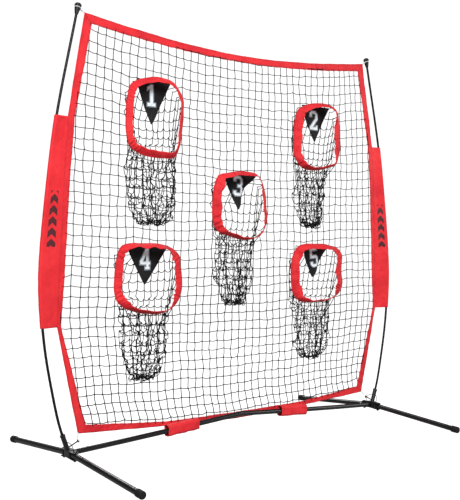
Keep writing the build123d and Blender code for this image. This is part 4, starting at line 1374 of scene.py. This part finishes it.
def printed(name, k, outlines, holes, lift0, lift1, mat):
    """A thin raised print that follows the flag's cloth."""
    import bmesh
    bm = bmesh.new()
    loops = [[Vector((x, y, 0)) for x, y in o] for o in outlines + holes]
    flat = [v for lp in loops for v in lp]
    tris = geometry.tessellate_polygon(loops)
    bv = [bm.verts.new(v) for v in flat]
    for t in tris:
        try:
            bm.faces.new([bv[i] for i in t])
        except ValueError:
            pass
    for axis in (0, 1):
        vals = [v[axis] for v in flat]
        lo, hi = min(vals), max(vals)
        c = lo + 5.0
        while c < hi - 1:
            co = Vector((c, 0, 0)) if axis == 0 else Vector((0, c, 0))
            no = Vector((1, 0, 0)) if axis == 0 else Vector((0, 1, 0))
            bmesh.ops.bisect_plane(bm, geom=bm.verts[:] + bm.edges[:] + bm.faces[:], dist=1e-5,
                                   plane_co=co, plane_no=no)
            c += 6.0
    bmesh.ops.remove_doubles(bm, verts=bm.verts, dist=1e-4)
    bm.verts.ensure_lookup_table()
    bm.faces.ensure_lookup_table()
    P = np.array([[v.co.x, v.co.y] for v in bm.verts]) / 1000.0
    P[:, 0] -= .030
    a = math.radians(DIGIT_TILT[k])
    c = np.array([0, .054])
    d = P - c
    P = c + np.stack([d[:, 0] * math.cos(a) - d[:, 1] * math.sin(a), d[:, 0] * math.sin(a) + d[:, 1] * math.cos(a)], axis=1)
    t = DIGIT_TOP[k] + .108 - P[:, 1]
    L, H = FLAG_LEN[k], FLAG_HALF[k]
    half, mid = flag_span(k, np.clip(t / L, 0, 1))
    s = (P[:, 0] - mid) / half
    front, back = flag_point(k, s, t, lift1), flag_point(k, s, t, lift0)
    n = len(P)
    faces = [[v.index for v in f.verts] for f in bm.faces]
    polys = []
    for f in faces:
        polys.append(f)
        polys.append([i + n for i in f[::-1]])
    for e in bm.edges:
        if len(e.link_faces) == 1:
            f = e.link_faces[0]
            ids = [v.index for v in f.verts]
            i, j = e.verts[0].index, e.verts[1].index
            if ids[(ids.index(i) + 1) % len(ids)] != j:
                i, j = j, i
            polys.append([j, i, i + n, j + n])
    bm.free()
    me = bpy.data.meshes.new(name)
    me.from_pydata(np.vstack([front, back]).tolist(), [], polys)
    me.materials.append(mat)
    bm = bmesh.new()
    bm.from_mesh(me)
    bmesh.ops.recalc_face_normals(bm, faces=bm.faces)
    bm.to_mesh(me)
    bm.free()
    me.update()
    ob = bpy.data.objects.new(name, me)
    bpy.context.scene.collection.objects.link(ob)
    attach(ob, "flag_body_%d" % k)
    return ob


def flag(k):
    (cx, cz), radii = MOUTHS[k]
    L, H = FLAG_LEN[k], FLAG_HALF[k]
    nu, nv = 90, 45
    t = np.linspace(0, L, nu)
    s = np.linspace(-1, 1, nv)
    tt, ss = np.meshgrid(t, s, indexing="ij")
    P = flag_point(k, ss, tt)
    half = np.full((nu, nv), .00045)
    half[:, :3] = half[:, -3:] = .00075
    half[-4:] = .0007
    a = ribbon_mesh(P, half, V=(s + 1) * H)
    # the hem is a sleeve for the cord, sewn down below it
    n, m = 60, 18
    xs = np.linspace(-H + CORNERS[k][1], H + CORNERS[k][0], n)
    hz = cz + radii[6] / 1000.0 - HINGE_DROP
    y0 = float(net_y(cz)) + HINGE_BACK
    ang = np.arange(m) * 2 * math.pi / m
    rr = .0040 * (1 + .05 * wob(420 + k, xs[:, None] / .05, ang[None, :] / 5))
    ring = np.stack([np.repeat((cx + xs)[:, None], m, 1), y0 + rr * np.cos(ang)[None, :] * .9,
                     hz + rr * np.sin(ang)[None, :]], axis=2)
    f, ci, cj = grid_faces(n, m, False, True)
    uv = np.stack([(xs + H)[ci], cj * .0014 + .03], axis=2)
    caps = [[q for q in range(m)][::-1], [(n - 1) * m + q for q in range(m)]]
    b = (ring.reshape(-1, 3), f, uv, caps)
    v, f, uv, caps = join([a, b])
    make("flag_cloth_%d" % k, v, f, M["flag"], body="flag_body_%d" % k, slot="flag_fabric", uv=uv,
         caps=caps, repl=("number_flag_%d" % k,))
    outs, holes = DIGITS[k]
    printed("digit_%d" % k, k, [list(map(tuple, grow(o, -1.6))) for o in outs],
            [list(map(tuple, grow(h, .9))) for h in holes], .00045, .00075, M["white"])
    printed("digit_edge_%d" % k, k, [list(map(tuple, grow(o, 4.0))) for o in outs],
            [list(map(tuple, grow(h, -2.6))) for h in holes], .0000, .00050, M["silver"])


for k in MOUTHS:
    flag(k)


# ---------------------------------------------------------------- leaf springs
def leaf_spring(where):
    """The leaf under a snap button, copied unchanged from the part in bright zinc."""
    src = frame["nodes"]["snap_spring_" + where]
    ob = bpy.data.objects.new("button_leaf_" + where, src.data.copy())
    ob.data.materials.clear()
    ob.data.materials.append(M["zinc"])
    bpy.context.scene.collection.objects.link(ob)
    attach(ob, "base_and_net")
    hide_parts("snap_spring_" + where)
    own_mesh(ob)


leaf_spring("left")
leaf_spring("right")
leaf_spring("centre")


# ---------------------------------------------------------------- cords
def flag_cord_lines():
    out = []
    for k, ((cx, cz), radii) in MOUTHS.items():
        r90 = radii[6] / 1000.0
        hz = cz + r90 - HINGE_DROP
        y0 = float(net_y(cz)) + HINGE_BACK
        pts = []
        for right in (False, True):
            th = rim_at_height(radii, r90 - HINGE_DROP + .004, right)
            R = float(polar(radii, np.array([th]))[0]) - .003
            H = FLAG_HALF[k]
            sx = 1 if right else -1
            e = H + CORNERS[k][0] if right else H - CORNERS[k][1]
            xr = abs(R * math.cos(th)) - .008
            chain = [(cx + sx * xr, float(net_y(hz)) + .003, hz + .002),
                     (cx + sx * (xr * .4 + e * .6), y0 - .016, hz + .001),
                     (cx + sx * (e + .002), y0 - .0006, hz), (cx + sx * (e - .02), y0, hz)]
            pts += chain if not right else chain[::-1]
        out.append(spline(pts, 60))
    return out


tubes("flag_cord_runs", flag_cord_lines(), [.0013] * 5, M["cord"], sides=8, slot="black_cord",
      repl=("flag_cords",))


def ring_line(centre, axis, r, n=40, turns=1.0):
    axis = Vector(axis).normalized()
    u = axis.orthogonal().normalized()
    w = axis.cross(u)
    return np.array([list(Vector(centre) + (u * math.cos(a) + w * math.sin(a)) * r)
                     for a in np.linspace(0, 2 * math.pi * turns, n)])


def corner_lines():
    top, bottom = [], []
    for side in (-1, 1):
        nm = "pole_tip_%s" % ("left" if side < 0 else "right")
        lo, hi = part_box(nm)
        me = frame["nodes"]["pole_upper_%s" % ("left" if side < 0 else "right")].data
        co = np.array([v.co for v in me.vertices])
        topv = co[co[:, 2] > co[:, 2].max() - .010]
        end = topv.mean(0)
        ends = np.array([(lo[0] + hi[0]) / 2, 0, 0])
        tilt = math.radians(12)
        d = np.array([-side * math.sin(tilt), 0, math.cos(tilt)])
        # pole axis point at the neck of the tip
        neck = np.array([side * .957, 0, 2.119]) + d * .0002
        top.append(ring_line(neck, d, .0122, 40, 1.02))
        inward = np.array([-side * math.cos(tilt), 0, -math.sin(tilt)])
        zc = float(top_z(.9215))
        for q in (0, 1):
            a = neck + inward * .0100 + np.array([0, -.006 if q == 0 else .006, 0])
            b = np.array([side * (.9225 - .003 * q), float(net_y(zc)) + .0006 * (1 - 2 * q), zc - .0035])
            mid = (a + b) / 2 + np.array([0, 0, -.0020])
            top.append(spline([a, mid, b], 24))
        ball = np.array([side * .956, 0, .115])
        peg = np.array([side * .048, 0, -.023])
        bottom.append(ring_line(ball, peg, .0085, 36, 1.02))
        for q, dy in enumerate((-.0046, .0046)):
            zc = float(bot_out_z(.9430)) + .0035
            e = np.array([side * (.9430 - .004 * q), float(net_y(zc)) + dy * .12, zc])
            aw = e - ball
            peg_n = peg / np.linalg.norm(peg)
            aw = aw - peg_n * float(aw @ peg_n)
            a = ball + aw / np.linalg.norm(aw) * .0085
            bottom.append(spline([a, (a + e) / 2 + np.array([0, 0, -.001]), e], 24))
    return top, bottom


ct, cb = corner_lines()
tubes("elastic_top", ct, [.0024 if len(c) == 40 else .0018 for c in ct], M["elastic"], sides=8, slot="elastic_cord", repl=("corner_cords_top",))
tubes("elastic_bottom", cb, [.0016] * len(cb), M["elastic"], sides=8, slot="elastic_cord",
      repl=("corner_cords_bottom",))


# ---------------------------------------------------------------- stage, light and camera
def stage():
    n = Nodes("studio_floor")
    obj, _ = n.place()
    g = n.noise(obj, 3.0, 2.0)
    n.set(color=n.ramp(g, [(.3, (.30, .30, .30)), (.7, (.33, .33, .33))]), rough=.85, spec=.05)
    # seen directly the paper is nearly as bright as the backdrop; the object sees it dimmer
    em = n.new("ShaderNodeEmission")
    em.inputs[0].default_value = (1, 1, 1, 1)
    em.inputs[1].default_value = FLOOR_GLOW
    add = n.new("ShaderNodeAddShader")
    n.link(n.bsdf.outputs[0], add.inputs[0])
    n.link(em.outputs[0], add.inputs[1])
    lp0 = n.new("ShaderNodeLightPath")
    sel = n.new("ShaderNodeMixShader")
    n.link(lp0.outputs["Is Camera Ray"], sel.inputs[0])
    n.link(n.bsdf.outputs[0], sel.inputs[1])
    n.link(add.outputs[0], sel.inputs[2])
    n.link(sel.outputs[0], n.out.inputs[0])
    me = bpy.data.meshes.new("floor")
    s = 40.0
    me.from_pydata([(-s, -s, -.0004), (s, -s, -.0004), (s, s, -.0004), (-s, s, -.0004)], [], [(0, 1, 2, 3)])
    me.materials.append(n.mat)
    ob = bpy.data.objects.new("floor", me)
    bpy.context.scene.collection.objects.link(ob)
    w = bpy.data.worlds.new("studio")
    bpy.context.scene.world = w
    w.use_nodes = True
    t = w.node_tree
    t.nodes.clear()
    out = t.nodes.new("ShaderNodeOutputWorld")
    bg = t.nodes.new("ShaderNodeBackground")
    bg.inputs[0].default_value = (1, 1, 1, 1)
    lp = t.nodes.new("ShaderNodeLightPath")
    # brightness: the lit paper itself for the camera, dim for reflections, soft for shade
    m1 = t.nodes.new("ShaderNodeMath")
    m1.operation = "MULTIPLY_ADD"
    m1.inputs[1].default_value = 1.10 - WORLD_SHADE
    m1.inputs[2].default_value = WORLD_SHADE
    m2 = t.nodes.new("ShaderNodeMath")
    m2.operation = "MULTIPLY_ADD"
    m2.inputs[1].default_value = WORLD_GLOSS - WORLD_SHADE
    t.links.new(lp.outputs["Is Camera Ray"], m1.inputs[0])
    t.links.new(lp.outputs["Is Glossy Ray"], m2.inputs[0])
    t.links.new(m1.outputs[0], m2.inputs[2])
    t.links.new(m2.outputs[0], bg.inputs[1])
    t.links.new(bg.outputs[0], out.inputs[0])
    for nm, loc, aim, size, power in LIGHTS:
        lt = bpy.data.lights.new(nm, "AREA")
        lt.size = size
        lt.energy = power
        o = bpy.data.objects.new(nm, lt)
        bpy.context.scene.collection.objects.link(o)
        o.location = loc
        o.rotation_euler = (Vector(aim) - Vector(loc)).to_track_quat("-Z", "Y").to_euler()


FLOOR_GLOW, WORLD_SHADE, WORLD_GLOSS = .95, .40, .10
LIGHTS = (("key", (-3.4, -4.4, 4.4), (0, 0, 1.0), 2.4, 385),
          ("fill", (4.6, -3.0, 2.2), (0, 0, 1.0), 2.4, 85),
          ("back", (1.0, 4.5, 4.0), (0, 0, 1.0), 2.4, 150))
stage()
cam = bpy.data.cameras.new("camera")
cam.lens, cam.sensor_width, cam.sensor_fit = 61.5, 36.0, "AUTO"
cam.clip_start, cam.clip_end = .05, 60.0
camera = bpy.data.objects.new("camera", cam)
bpy.context.scene.collection.objects.link(camera)
camera.location = (-2.803, -3.560, 1.013)
camera.rotation_euler = (math.radians(89.78), 0.0, math.radians(-37.51))
bpy.context.scene.camera = camera
bpy.context.scene.view_settings.view_transform = "Standard"
bpy.context.scene.view_settings.look = "None"
